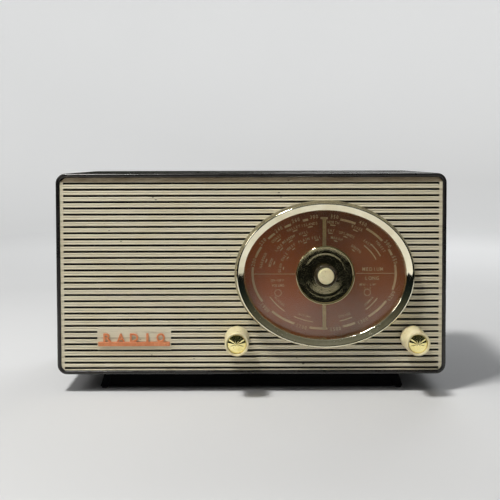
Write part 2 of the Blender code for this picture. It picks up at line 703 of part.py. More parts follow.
def make_control(name, x, steps):
    """A knob with its gilt insert and spindle, which turn together, and the fixed control behind them."""
    axis = axis_empty(f"{name}_axis", x, KNOB_HEIGHT)
    bore = SPINDLE_RADIUS + GAP
    recess = KNOB_TIP_RADIUS - KNOB_RIM
    floor = KNOB_REACH - INSERT_SEAT
    blind = KNOB_REACH - SPINDLE_GRIP
    knob = [
        (0, -blind),
        (bore, -blind),
        (bore, -KNOB_STANDOFF),
        (KNOB_BASE_RADIUS, -KNOB_STANDOFF),
    ]
    knob += [(KNOB_TIP_RADIUS - inwards, back - KNOB_REACH) for inwards, back in KNOB_EDGE]
    knob += [
        (recess + MOUTH_CHAMFER, -KNOB_REACH),
        (recess, MOUTH_CHAMFER - KNOB_REACH),
        (recess, -floor),
        (0, -floor),
    ]
    piece(f"{name}_knob", turned(knob, steps=28), "cream_plastic", parent=axis, smooth=True)
    edge = floor + GAP + INSERT_EDGE
    fit = recess - GAP
    insert = [(0, -floor - GAP), (fit, -floor - GAP), (fit, -edge), (0, -edge - INSERT_CONE)]
    piece(f"{name}_insert", turned(insert, steps=28), "gilt", parent=axis, smooth=True)
    body_start = CHASSIS_FRONT + SHEET + GAP
    body_end = body_start + CONTROL_LENGTH
    spindle = cylinder(SPINDLE_RADIUS, -blind + GAP, body_end - SHEET - GAP, steps=20)
    piece(f"{name}_spindle", spindle, "steel", parent=axis, smooth=True)
    body = [
        (0, body_end),
        (0, body_end - SHEET),
        (bore, body_end - SHEET),
        (bore, CHASSIS_FRONT - BUSH_LENGTH),
        (BUSH_RADIUS, CHASSIS_FRONT - BUSH_LENGTH),
        (BUSH_RADIUS, body_start),
        (CONTROL_RADIUS, body_start),
        (CONTROL_RADIUS, body_end),
    ]
    place = (x, PANEL_Y, above(KNOB_HEIGHT))
    piece(f"{name}_control", turned(body, steps=steps, closed=True), "brown_plastic", place)


def make_speaker():
    place = (SPEAKER_X, PANEL_Y, above(SPEAKER_HEIGHT))
    cloth_start = PANEL_THICK + GAP
    cloth_half = SPEAKER_OPENING + 2 * RIB_WIDTH
    low = (-cloth_half, cloth_start, -cloth_half)
    piece("speaker_cloth", block(low, (cloth_half, cloth_start + CLOTH_THICK, cloth_half)), "cloth", place)

    baffle_start = cloth_start + CLOTH_THICK + GAP
    baffle_end = baffle_start + BAFFLE_THICK
    left = -CASE_WIDTH / 2 + CASE_WALL + BAFFLE_MARGIN - SPEAKER_X
    right = KNOB_X[0] - SPINDLE_RADIUS - BAFFLE_MARGIN / 2 - SPEAKER_X
    top = CASE_HEIGHT - CASE_WALL - BAFFLE_MARGIN - SPEAKER_HEIGHT
    board = block((left, baffle_start, CASE_WALL + BAFFLE_MARGIN - SPEAKER_HEIGHT), (right, baffle_end, top))
    baffle = piece("speaker_baffle", board, "board", place)
    cut(baffle, cylinder(BAFFLE_HOLE, 0, 2 * baffle_end, steps=28))

    flange = baffle_end + GAP
    wall = FLANGE_THICK
    back = flange + BASKET_DEPTH
    mouth = BAFFLE_HOLE + 2 * wall
    basket = [
        (BAFFLE_HOLE, flange),
        (FLANGE_RADIUS, flange),
        (FLANGE_RADIUS, flange + wall),
        (mouth, flange + wall),
        (BASKET_BACK_RADIUS, back - wall),
        (BASKET_BACK_RADIUS, back),
        (BASKET_BACK_RADIUS / 2, back),
        (BASKET_BACK_RADIUS / 2, back - wall),
        (BASKET_BACK_RADIUS - wall, back - wall),
        (mouth - 2 * wall, flange + 2 * wall),
    ]
    frame = piece("speaker_frame", turned(basket, steps=28, closed=True), "steel", place)
    low_y, high_y = (flange + BASKET_DEPTH * share for share in BASKET_WINDOWS)
    half = BASKET_BACK_RADIUS * BASKET_WINDOW_SHARE
    cut(frame, block((-FLANGE_RADIUS, low_y, -half), (FLANGE_RADIUS, high_y, half)))
    cut(frame, block((-half, low_y, -FLANGE_RADIUS), (half, high_y, FLANGE_RADIUS)))

    neck = BASKET_BACK_RADIUS / 2 - 2 * GAP
    end = back - 2 * wall - 2 * GAP
    cone = [(neck * share, end - BASKET_DEPTH * rise) for share, rise in CONE_CAP]
    cone += [
        (neck, end - CONE_THICK),
        (CONE_RADIUS, flange + GAP),
        (CONE_RADIUS, flange + GAP + CONE_THICK),
        (neck, end),
        (0, end),
    ]
    piece("speaker_cone", turned(cone, steps=28), "paper", place, smooth=True)
    magnet = cylinder(MAGNET_RADIUS, back + GAP, back + GAP + MAGNET_LENGTH, steps=24)
    piece("speaker_magnet", magnet, "iron", place, smooth=True)

    holes = []
    head = flange + wall + GAP
    tip = baffle_start + BAFFLE_THICK / 3
    for number in range(4):
        angle = math.pi * (number / 2 + 0.25)
        x = SPEAKER_BOLT_CIRCLE * math.cos(angle)
        z = SPEAKER_BOLT_CIRCLE * math.sin(angle)
        bolt = turned(
            [(0, tip), (SCREW_RADIUS, tip), (SCREW_RADIUS, head), (SCREW_HEAD_RADIUS, head)]
            + [(SCREW_HEAD_RADIUS, head + SCREW_HEAD_HEIGHT), (0, head + SCREW_HEAD_HEIGHT)],
            steps=12,
        )
        spot = (place[0] + x, place[1], place[2] + z)
        piece(f"speaker_bolt_{number + 1}", bolt, "steel", spot)
        holes.append((x, z))
    for target, start, stop in ((frame, flange - wall, head), (baffle, tip - GAP, baffle_end + wall)):
        drills = [moved(cylinder(SCREW_RADIUS + GAP, start, stop, steps=12), x=x, z=z) for x, z in holes]
        cut(target, merged(drills))


def make_chassis():
    low_z = above(CASE_WALL + GAP)
    high_z = above(CHASSIS_TOP)
    front = behind(CHASSIS_FRONT)
    back = behind(CHASSIS_BACK)
    section = [
        (front, low_z),
        (front + FLANGE_WIDTH, low_z),
        (front + FLANGE_WIDTH, low_z + SHEET),
        (front + SHEET, low_z + SHEET),
        (front + SHEET, high_z - SHEET),
        (back - SHEET, high_z - SHEET),
        (back - SHEET, low_z + SHEET),
        (back - FLANGE_WIDTH, low_z + SHEET),
        (back - FLANGE_WIDTH, low_z),
        (back, low_z),
        (back, high_z),
        (front, high_z),
    ]
    chassis = piece("chassis", prism(section, CHASSIS_LEFT, CHASSIS_LEFT + CHASSIS_WIDTH, "X"), "steel")
    holes = []
    for x in KNOB_X:
        hole = cylinder(BUSH_RADIUS + GAP, front - SHEET, front + 2 * SHEET, steps=16)
        holes.append(moved(hole, x=x, z=above(KNOB_HEIGHT)))
    for x, y in chassis_bolt_places():
        hole = cylinder(BOLT_RADIUS + GAP, low_z - SHEET, low_z + 2 * SHEET, "Z", 12)
        holes.append(moved(hole, x=x, y=y))
    cut(chassis, merged(holes))
    head = above(-GAP)
    for number, (x, y) in enumerate(chassis_bolt_places(), 1):
        tip = low_z + 3 * SHEET
        under = head - BOLT_HEAD_HEIGHT
        profile = [(0, under), (BOLT_HEAD_RADIUS, under), (BOLT_HEAD_RADIUS, head)]
        profile += [(BOLT_RADIUS, head), (BOLT_RADIUS, tip), (0, tip)]
        piece(f"chassis_bolt_{number}", turned(profile, "Z", 12), "steel", (x, y, 0))


def make_valves():
    """Each glass valve stands in its own holder on the chassis."""
    seat = above(CHASSIS_TOP + GAP)
    for number in range(1, VALVE_COUNT + 1):
        x = CHASSIS_LEFT + VALVE_FIRST + (number - 1) * VALVE_PITCH
        place = (x, behind(VALVE_ROW), seat)
        pit = HOLDER_HEIGHT / 2
        holder = [
            (0, 0),
            (HOLDER_RADIUS, 0),
            (HOLDER_RADIUS, HOLDER_HEIGHT),
            (VALVE_RADIUS + GAP, HOLDER_HEIGHT),
            (VALVE_RADIUS + GAP, pit),
            (0, pit),
        ]
        piece(f"valve_holder_{number}", turned(holder, "Z", 16), "brown_plastic", place)
        base = pit + GAP
        shoulder = base + VALVE_HEIGHT - VALVE_RADIUS
        glass = [(0, base), (VALVE_RADIUS, base)]
        for step in range(DOME_STEPS + 1):
            angle = DOME_ANGLE * step / DOME_STEPS
            rise = VALVE_RADIUS * math.sin(angle) * DOME_SHARE
            glass.append((VALVE_RADIUS * math.cos(angle), shoulder + rise))
        glass += [(VALVE_RADIUS * DOME_TIP, base + VALVE_HEIGHT), (0, base + VALVE_HEIGHT)]
        piece(f"valve_{number}", turned(glass, "Z", 16), "glass", place, smooth=True)


def make_top_parts():
    """Cans, transformer, lamp and aerial, all standing on the chassis."""
    seat = above(CHASSIS_TOP + GAP)
    half = CAN_SIDE / 2
    for number, from_left in enumerate(CAN_PLACES, 1):
        x = CHASSIS_LEFT + from_left
        y = behind(CAN_ROW)
        low = (x - half, y - half, seat)
        piece(f"if_can_{number}", block(low, (x + half, y + half, seat + CAN_HEIGHT)), "aluminium")
    make_smoother_and_transformer()
    piece("dial_lamp", turned(LAMP_OUTLINE, "Z", 16), "glass", on_chassis(LAMP_PLACE), smooth=True)
    make_aerial(seat)


def on_chassis(place):
    """World position of a place counted from the chassis's left end and the panel's front face."""
    return (CHASSIS_LEFT + place[0], behind(place[1]), above(CHASSIS_TOP + GAP))


def make_smoother_and_transformer():
    inwards, down = SMOOTHER_CHAMFER
    can = [
        (0, 0),
        (SMOOTHER_RADIUS, 0),
        (SMOOTHER_RADIUS, SMOOTHER_HEIGHT - down),
        (SMOOTHER_RADIUS - inwards, SMOOTHER_HEIGHT),
        (0, SMOOTHER_HEIGHT),
    ]
    piece("smoothing_can", turned(can, "Z", 24), "aluminium", on_chassis(SMOOTHER_PLACE), smooth=True)
    width, depth, height = CORE_SIZE
    core = block((-width / 2, -depth / 2, 0), (width / 2, depth / 2, height))
    transformer = piece("output_transformer", core, "iron", on_chassis(OUTPUT_PLACE))
    width, depth, height = BOBBIN_SIZE
    bobbin = block((-width / 2, -depth / 2, BOBBIN_LOW), (width / 2, depth / 2, BOBBIN_LOW + height))
    join(transformer, bobbin)


def make_aerial(seat):
    """Ferrite rod with its two coils, held by a strut at each end."""
    half = ROD_LENGTH / 2
    coil = ROD_RADIUS + COIL_THICK
    profile = [(0, -half), (ROD_RADIUS, -half)]
    for share in COIL_ENDS:
        start, end = share[0] * half, share[1] * half
        profile += [(ROD_RADIUS, start), (coil, start), (coil, end), (ROD_RADIUS, end)]
    profile += [(ROD_RADIUS, half), (0, half)]
    middle = CHASSIS_LEFT + CHASSIS_WIDTH / 2
    place = (middle, behind(CHASSIS_BACK - ROD_FROM_BACK), above(ROD_HEIGHT))
    piece("ferrite_rod", turned(profile, "X", 16), "ferrite", place, smooth=True)
    strut_x = half - STRUT_WIDTH
    side_y = STRUT_WIDTH / 2
    top = ROD_RADIUS + side_y
    foot = seat - above(ROD_HEIGHT)
    low = (-strut_x - STRUT_THICK, -side_y, foot)
    high = (strut_x + STRUT_THICK, side_y, foot + STRUT_THICK)
    strut = piece("aerial_bracket", block(low, high), "steel", place)
    for side in (-1, 1):
        x = side * strut_x
        low = (x - STRUT_THICK, -side_y, foot + STRUT_THICK / 2)
        join(strut, block(low, (x + STRUT_THICK, side_y, top)))
    cut(strut, cylinder(ROD_RADIUS + GAP, -half, half, "X", 16))


def make_rear_cover():
    inner = behind(COVER_SEAT + GAP)
    outer = inner + COVER_THICK
    outline = case_outline(COVER_RIM + GAP)
    cover = piece("rear_cover", prism(outline, inner, outer), "board")
    cuts = []
    for row in VENT_ROWS:
        for number in range(VENT_COUNT):
            x = (number - (VENT_COUNT - 1) / 2) * VENT_PITCH
            low = (x - VENT_WIDTH / 2, inner - COVER_THICK, above(row - VENT_HEIGHT / 2))
            high = (x + VENT_WIDTH / 2, outer + COVER_THICK, above(row + VENT_HEIGHT / 2))
            cuts.append(block(low, high))
    for x, z in post_centres():
        hole = cylinder(SCREW_RADIUS + GAP, inner - COVER_THICK, outer + COVER_THICK, steps=12)
        cuts.append(moved(hole, x=x, z=z))
    hole = cylinder(GROMMET_WAIST + GAP, inner - COVER_THICK, outer + COVER_THICK, steps=24)
    cuts.append(moved(hole, x=GROMMET_X, z=above(GROMMET_HEIGHT)))
    half_x, half_z = SOCKETS_SIZE[0] / 2 + GAP, SOCKETS_SIZE[1] / 2 + GAP
    low = (SOCKETS_X - half_x, inner - COVER_THICK, above(SOCKETS_HEIGHT) - half_z)
    cuts.append(block(low, (SOCKETS_X + half_x, outer + COVER_THICK, above(SOCKETS_HEIGHT) + half_z)))
    cut(cover, merged(cuts))
    make_cover_screws(outer)
    make_grommet(inner, outer)
    make_sockets(outer)


def make_cover_screws(outer):
    head = outer + GAP
    tip = outer - COVER_THICK - GAP - SCREW_LENGTH
    top = head + SCREW_HEAD_HEIGHT
    profile = [
        (0, tip),
        (SCREW_RADIUS, tip),
        (SCREW_RADIUS, head),
        (SCREW_HEAD_RADIUS, head),
        (SCREW_HEAD_RADIUS, head + SCREW_HEAD_HEIGHT / 2),
        (SCREW_HEAD_RADIUS * SCREW_TOP_SHARE, top),
        (0, top),
    ]
    half = SCREW_SLOT / 2
    for number, (x, z) in enumerate(post_centres(), 1):
        screw = piece(f"cover_screw_{number}", turned(profile, steps=12), "steel", (x, 0, z))
        low = (-2 * SCREW_HEAD_RADIUS, top - SCREW_SLOT, -half)
        cut(screw, block(low, (2 * SCREW_HEAD_RADIUS, top + SCREW_SLOT, half)))


def make_grommet(inner, outer):
    profile = [
        (GROMMET_BORE, inner - GAP - GROMMET_LIP),
        (GROMMET_FLANGE, inner - GAP - GROMMET_LIP),
        (GROMMET_FLANGE, inner - GAP),
        (GROMMET_WAIST, inner - GAP),
        (GROMMET_WAIST, outer + GAP),
        (GROMMET_FLANGE, outer + GAP),
        (GROMMET_FLANGE, outer + GAP + GROMMET_LIP),
        (GROMMET_BORE, outer + GAP + GROMMET_LIP),
    ]
    place = (GROMMET_X, 0, above(GROMMET_HEIGHT))
    piece("mains_grommet", turned(profile, steps=20, closed=True), "rubber", place, smooth=True)


def make_sockets(outer):
    half_x, half_z = SOCKETS_SIZE[0] / 2, SOCKETS_SIZE[1] / 2
    low = (-half_x, outer - SOCKETS_DEPTH, -half_z)
    place = (SOCKETS_X, 0, above(SOCKETS_HEIGHT))
    strip = piece("socket_strip", block(low, (half_x, outer, half_z)), "brown_plastic", place)
    holes = []
    for number in (-1, 0, 1):
        hole = cylinder(SOCKET_RADIUS, outer - SOCKETS_DEPTH * SOCKET_BORE_SHARE, outer + SHEET, steps=16)
        holes.append(moved(hole, x=number * SOCKET_PITCH))
    cut(strip, merged(holes))


def make_feet():
    """A splayed runner under each side, with a rubber strip below it and two pegs into the case."""
    front = behind(FOOT_SETBACK)
    back = behind(CASE_BACK - FOOT_SETBACK)
    top = above(-GAP)
    bottom = STRIP_THICK + GAP
    for name, side in SIDES.items():
        inner_top = FOOT_INNER_TOP
        inner_bottom = FOOT_INNER_TOP + FOOT_SPLAY
        section = [
            (side * inner_top, top),
            (side * (inner_top + FOOT_TOP_WIDTH), top),
            (side * (inner_bottom + FOOT_BOTTOM_WIDTH), bottom),
            (side * inner_bottom, bottom),
        ]
        runner = piece(f"{name}_foot", prism(section, front, back), "black_plastic")
        pegs = []
        for x, y in peg_places(side):
            peg = cylinder(PEG_RADIUS, top - PEG_RADIUS, above(CASE_WALL), "Z", 16)
            pegs.append(moved(peg, x=x, y=y))
        join(runner, merged(pegs))
        near_x = side * (inner_bottom + STRIP_MARGIN)
        far_x = side * (inner_bottom + FOOT_BOTTOM_WIDTH - STRIP_MARGIN)
        low_x, high_x = sorted((near_x, far_x))
        strip = block((low_x, front + STRIP_MARGIN, 0), (high_x, back - STRIP_MARGIN, STRIP_THICK))
        piece(f"{name}_foot_strip", strip, "rubber")


def make_skirt():
    """A low wall that closes the front between the feet and leans out with them at its ends."""
    front = behind(FOOT_SETBACK)
    low, high = SKIRT_CLEARANCE, above(-GAP)
    lean = FOOT_SPLAY * (high - low) / (high - STRIP_THICK - GAP)
    half_top = FOOT_INNER_TOP - 2 * GAP
    half_bottom = half_top + lean
    outline = [(-half_top, high), (-half_bottom, low), (half_bottom, low), (half_top, high)]
    skirt = piece("base_skirt", prism(outline, front, front + SKIRT_THICK), "black_plastic")
    join(skirt, merged(skirt_tabs(0, high - TAB_THICK, above(CASE_WALL))))


def main():
    clear_scene()
    make_case()
    make_panel()
    make_badge()
    make_bezel()
    make_window_and_plate()
    make_tuning()
    make_gang_frame()
    make_control("volume", KNOB_X[0], 24)
    make_control("wave", KNOB_X[1], 8)
    make_speaker()
    make_chassis()
    make_valves()
    make_top_parts()
    make_rear_cover()
    make_feet()
    make_skirt()


main()
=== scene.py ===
"""Looks of the tabletop valve radio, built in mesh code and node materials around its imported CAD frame."""

import math

import bmesh
import bpy
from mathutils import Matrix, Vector


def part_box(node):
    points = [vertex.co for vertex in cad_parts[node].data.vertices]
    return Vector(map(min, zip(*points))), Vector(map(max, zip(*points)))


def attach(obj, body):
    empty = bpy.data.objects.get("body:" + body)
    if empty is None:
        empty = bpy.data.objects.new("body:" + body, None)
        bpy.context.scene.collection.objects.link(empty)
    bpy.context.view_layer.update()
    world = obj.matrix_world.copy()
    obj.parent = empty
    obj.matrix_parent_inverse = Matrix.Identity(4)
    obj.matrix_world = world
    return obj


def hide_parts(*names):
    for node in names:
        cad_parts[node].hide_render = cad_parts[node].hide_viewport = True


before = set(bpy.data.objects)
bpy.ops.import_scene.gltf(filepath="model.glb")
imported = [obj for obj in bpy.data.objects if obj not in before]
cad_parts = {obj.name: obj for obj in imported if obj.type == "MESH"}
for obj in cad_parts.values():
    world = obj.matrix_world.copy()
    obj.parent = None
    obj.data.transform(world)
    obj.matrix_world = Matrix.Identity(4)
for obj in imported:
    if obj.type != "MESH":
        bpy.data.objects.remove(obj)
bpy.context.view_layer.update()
MM = 0.001

# ---------------------------------------------------------------- sizes read from the frame

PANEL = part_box("front_grille")
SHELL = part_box("cabinet_shell")
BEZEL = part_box("dial_bezel")
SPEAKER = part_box("speaker_magnet")
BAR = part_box("badge_bar")
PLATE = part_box("dial_scale")
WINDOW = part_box("dial_window")
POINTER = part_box("pointer")
PANEL_Y = PANEL[0].y
BOTTOM = SHELL[0].z
DIAL_X = (BEZEL[0].x + BEZEL[1].x) / 2
DIAL_Z = (BEZEL[0].z + BEZEL[1].z) / 2
HALF_W = (BEZEL[1].x - BEZEL[0].x) / 2
HALF_H = (BEZEL[1].z - BEZEL[0].z) / 2
SPEAKER_X = (SPEAKER[0].x + SPEAKER[1].x) / 2
SPEAKER_Z = (SPEAKER[0].z + SPEAKER[1].z) / 2
CASE_HALF = SHELL[1].x
CASE_HEIGHT = SHELL[1].z - SHELL[0].z
CORNER = 8.5 * MM

GROOVE_PITCH = 5.417 * MM
GROOVE_HALF = 0.9 * MM
GROOVE_DEPTH = 3.0 * MM
FIRST_GROOVE = 10.2 * MM
GROOVE_ROWS = 30
EDGE_GROOVE = 5.5 * MM
GROOVE_END = CASE_HALF - 6.3 * MM
COLLAR = 1.5 * MM
OPENING = 62 * MM
RIB_SPACING = 31.2 * MM
RIB_HALF = 0.6 * MM
# Badge pad: left and right in x, then low and high over the case's underside.
PAD = (-134.8 * MM, -70.4 * MM, 21.6 * MM, 41.6 * MM)


def behind(depth_mm):
    return PANEL_Y + depth_mm * MM


# ---------------------------------------------------------------- mesh helpers


def add_object(name, data):
    obj = bpy.data.objects.new(name, data)
    bpy.context.scene.collection.objects.link(obj)
    return obj


def add_mesh(name, shape):
    """Makes an object of a bmesh, which is used up."""
    mesh = bpy.data.meshes.new(name)
    shape.to_mesh(mesh)
    shape.free()
    return add_object(name, mesh)


def finish_mesh(name, shape, material, body, replaces=(), sharp=40):
    """Turns a bmesh in world coordinates into a piece that rides on a body."""
    bmesh.ops.remove_doubles(shape, verts=shape.verts, dist=1e-7)
    bmesh.ops.dissolve_degenerate(shape, edges=shape.edges, dist=1e-7)
    bmesh.ops.recalc_face_normals(shape, faces=shape.faces)
    obj = add_mesh(name, shape)
    mesh = obj.data
    if sharp:
        mesh.shade_smooth()
        mesh.set_sharp_from_angle(angle=math.radians(sharp))
    mesh.materials.append(material)
    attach(obj, body)
    if replaces:
        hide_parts(*replaces)
    return obj


def bake_modifiers(obj):
    """Applies the object's modifiers and removes its helpers."""
    graph = bpy.context.evaluated_depsgraph_get()
    made = bpy.data.meshes.new_from_object(obj.evaluated_get(graph))
    helpers = [m.object for m in obj.modifiers if m.type == "BOOLEAN"]
    obj.modifiers.clear()
    obj.data = made
    for helper in helpers:
        bpy.data.objects.remove(helper)


def cut_by(obj, shape):
    """Adds a cut by a closed shape; bake_modifiers applies it."""
    bmesh.ops.recalc_face_normals(shape, faces=shape.faces)
    helper = add_mesh("cutter", shape)
    helper.hide_render = True
    modifier = obj.modifiers.new("cut", "BOOLEAN")
    modifier.operation = "DIFFERENCE"
    modifier.solver = "EXACT"
    modifier.object = helper


def soften(obj, width, segments=2, angle=40):
    modifier = obj.modifiers.new("soften", "BEVEL")
    modifier.width = width
    modifier.segments = segments
    modifier.limit_method = "ANGLE"
    modifier.angle_limit = math.radians(angle)
    modifier.harden_normals = False


def prism(outline, start, end, into=None):
    """An (x, z) outline carried from y = start to y = end."""
    shape = into or bmesh.new()
    near = [shape.verts.new((x, start, z)) for x, z in outline]
    far = [shape.verts.new((x, end, z)) for x, z in outline]
    shape.faces.new(near)
    shape.faces.new(list(reversed(far)))
    for i in range(len(outline)):
        j = (i + 1) % len(outline)
        shape.faces.new((near[j], near[i], far[i], far[j]))
    return shape


def ellipse(half_w, half_h, count, x, z):
    step = 2 * math.pi / count
    return [(x + half_w * math.cos(i * step), z + half_h * math.sin(i * step)) for i in range(count)]


def swept(rings, closed_profile=True, capped=False):
    """Joins rings of points in order; each ring is a closed loop with the same count."""
    shape = bmesh.new()
    loops = [[shape.verts.new(p) for p in ring] for ring in rings]
    count = len(rings[0])
    pairs = list(zip(loops, loops[1:]))
    if closed_profile:
        pairs.append((loops[-1], loops[0]))
    for near, far in pairs:
        for i in range(count):
            j = (i + 1) % count
            shape.faces.new((near[i], near[j], far[j], far[i]))
    if capped:
        shape.faces.new(loops[0])
        shape.faces.new(loops[-1])
    return shape


def turned(profile, x, z, steps=96, closed=True, stretch=0.0):
    """A (radius, depth) profile in millimetres turned round a front-to-back axis.

    A radius of 0 ends the profile in a fan. stretch adds to the radius in x only, for an ellipse.
    """
    rings = []
    for radius, depth in profile:
        r = max(radius, 0.0) * MM
        wide = r + stretch * MM if radius > 0 else r
        rings.append([(px, behind(depth), pz) for px, pz in ellipse(wide, r, steps, x, z)])
    return swept(rings, closed)


def rounded_outline(inset, segments=12):
    """The case's outline in x and z, moved inwards, with round corners."""
    radius = max(CORNER - inset, CORNER / 4)
    middle = BOTTOM + CASE_HEIGHT / 2
    reach_x = CASE_HALF - inset - radius
    reach_z = CASE_HEIGHT / 2 - inset - radius
    points = []
    for corner, (sx, sz) in enumerate(((1, 1), (-1, 1), (-1, -1), (1, -1))):
        for step in range(segments + 1):
            angle = math.pi / 2 * (corner + step / segments)
            x = sx * reach_x + radius * math.cos(angle)
            points.append((x, middle + sz * reach_z + radius * math.sin(angle)))
    return points


# ---------------------------------------------------------------- material helpers


class Nodes:
    """Short hand for one node material whose patterns are laid out in the object's own metres."""

    def __init__(self, name):
        self.material = bpy.data.materials.new(name)
        self.material.use_nodes = True
        self.tree = self.material.node_tree
        self.shader = self.tree.nodes["Principled BSDF"]
        self.out = self.tree.nodes["Material Output"]
        self.space = self.node("ShaderNodeTexCoord").outputs["Object"]

    def node(self, kind, **values):
        made = self.tree.nodes.new(kind)
        for key, value in values.items():
            setattr(made, key, value)
        return made

    def put(self, socket, value):
        if isinstance(value, bpy.types.NodeSocket):
            self.tree.links.new(value, socket)
        elif isinstance(value, (tuple, list)):
            opaque = len(value) == 3 and len(socket.default_value) == 4
            socket.default_value = (*value, 1.0) if opaque else value
        else:
            socket.default_value = value

    def set(self, **values):
        for key, value in values.items():
            self.put(self.shader.inputs[key.replace("_", " ")], value)

    def stretched(self, scale):
        made = self.node("ShaderNodeMapping")
        made.vector_type = "POINT"
        self.put(made.inputs["Vector"], self.space)
        made.inputs["Scale"].default_value = scale
        return made.outputs["Vector"]

    def noise(self, scale, detail=3.0, roughness=0.5, stretch=None):
        made = self.node("ShaderNodeTexNoise")
        made.inputs["Scale"].default_value = scale
        made.inputs["Detail"].default_value = detail
        made.inputs["Roughness"].default_value = roughness
        self.put(made.inputs["Vector"], self.stretched(stretch) if stretch else self.space)
        return made.outputs["Fac"]

    def cells(self, scale, stretch=None):
        made = self.node("ShaderNodeTexVoronoi")
        made.inputs["Scale"].default_value = scale
        self.put(made.inputs["Vector"], self.stretched(stretch) if stretch else self.space)
        return made.outputs["Distance"]

    def ramp(self, fac, *stops):
        made = self.node("ShaderNodeValToRGB")
        ramp = made.color_ramp
        while len(ramp.elements) < len(stops):
            ramp.elements.new(0.5)
        for element, (position, colour) in zip(ramp.elements, stops):
            element.position = position
            element.color = (colour, colour, colour, 1) if isinstance(colour, float) else (*colour, 1)
        self.put(made.inputs["Fac"], fac)
        return made.outputs["Color"]

    def mix(self, fac, a, b):
        made = self.node("ShaderNodeMix", data_type="RGBA")
        self.put(made.inputs[0], fac)
        self.put(made.inputs[6], a)
        self.put(made.inputs[7], b)
        return made.outputs[2]

    def maths(self, operation, a, b=0.0, c=0.0, clamp=False):
        made = self.node("ShaderNodeMath", operation=operation, use_clamp=clamp)
        for socket, value in zip(made.inputs, (a, b, c)):
            self.put(socket, value)
        return made.outputs[0]

    def times(self, a, b):
        return self.maths("MULTIPLY", a, b)

    def plus(self, a, b):
        return self.maths("ADD", a, b)

    def stain(self, base, where, strength, colour):
        """The base with a colour laid over it where a mask says."""
        return self.mix(self.times(where, strength), base, colour)

    def span(self, value, low, high, out_low=0.0, out_high=1.0):
        """A value between low and high brought to between out_low and out_high, and held there."""
        made = self.node("ShaderNodeMapRange", clamp=True)
        for socket, number in zip(made.inputs, (value, low, high, out_low, out_high)):
            self.put(socket, number)
        return made.outputs[0]

    def axes(self):
        made = self.node("ShaderNodeSeparateXYZ")
        self.put(made.inputs[0], self.space)
        return made.outputs[0], made.outputs[1], made.outputs[2]

    def bump(self, height, distance, strength=1.0, before=None):
        made = self.node("ShaderNodeBump")
        made.inputs["Strength"].default_value = strength
        made.inputs["Distance"].default_value = distance
        self.put(made.inputs["Height"], height)
        if before is not None:
            self.put(made.inputs["Normal"], before)
        return made.outputs[0]

    def facing_up(self):
        """How much a surface faces upwards."""
        geometry = self.node("ShaderNodeNewGeometry")
        parts = self.node("ShaderNodeSeparateXYZ")
        self.put(parts.inputs[0], geometry.outputs["Normal"])
        return parts.outputs[2]

    def ring_distance(self, x, z):
        """Radius and angle round a front-to-back axis."""
        px, _, pz = self.axes()
        dx = self.maths("SUBTRACT", px, x)
        dz = self.maths("SUBTRACT", pz, z)
        squared = self.plus(self.times(dx, dx), self.times(dz, dz))
        return self.maths("SQRT", squared), self.maths("ARCTAN2", dz, dx)


def srgb(*values):
    """Linear colour of an 8-bit screen colour."""
    scaled = [v / 255 for v in values]
    return tuple(v / 12.92 if v <= 0.04045 else ((v + 0.055) / 1.055) ** 2.4 for v in scaled)


# ---------------------------------------------------------------- materials


def case_material():
    m = Nodes("black_moulded_plastic")
    cloud = m.noise(28, 4, 0.6)
    base = m.ramp(cloud, (0.3, (0.0075, 0.0065, 0.0068)), (0.7, (0.0145, 0.0125, 0.0125)))
    dust = m.noise(900, 2, 0.7)
    dust = m.span(dust, 0.62, 0.74)
    lying = m.span(m.facing_up(), 0.4, 1.0, 0.04, 0.30)
    base = m.mix(m.times(dust, lying), base, (0.16, 0.15, 0.13))
    scratch = m.span(m.noise(60, 3, 0.7, stretch=(1, 26, 18)), 0.60, 0.68)
    rough = m.plus(m.span(cloud, 0.3, 0.7, 0.20, 0.34), m.times(scratch, 0.10))
    rough = m.plus(rough, m.times(dust, 0.12))
    normal = m.bump(m.noise(1100, 2), 0.00002, 0.5)
    normal = m.bump(m.noise(90, 2), 0.0002, 0.35, normal)
    m.set(Base_Color=base, Roughness=rough, Normal=normal, Specular_IOR_Level=0.5)
    return m.material


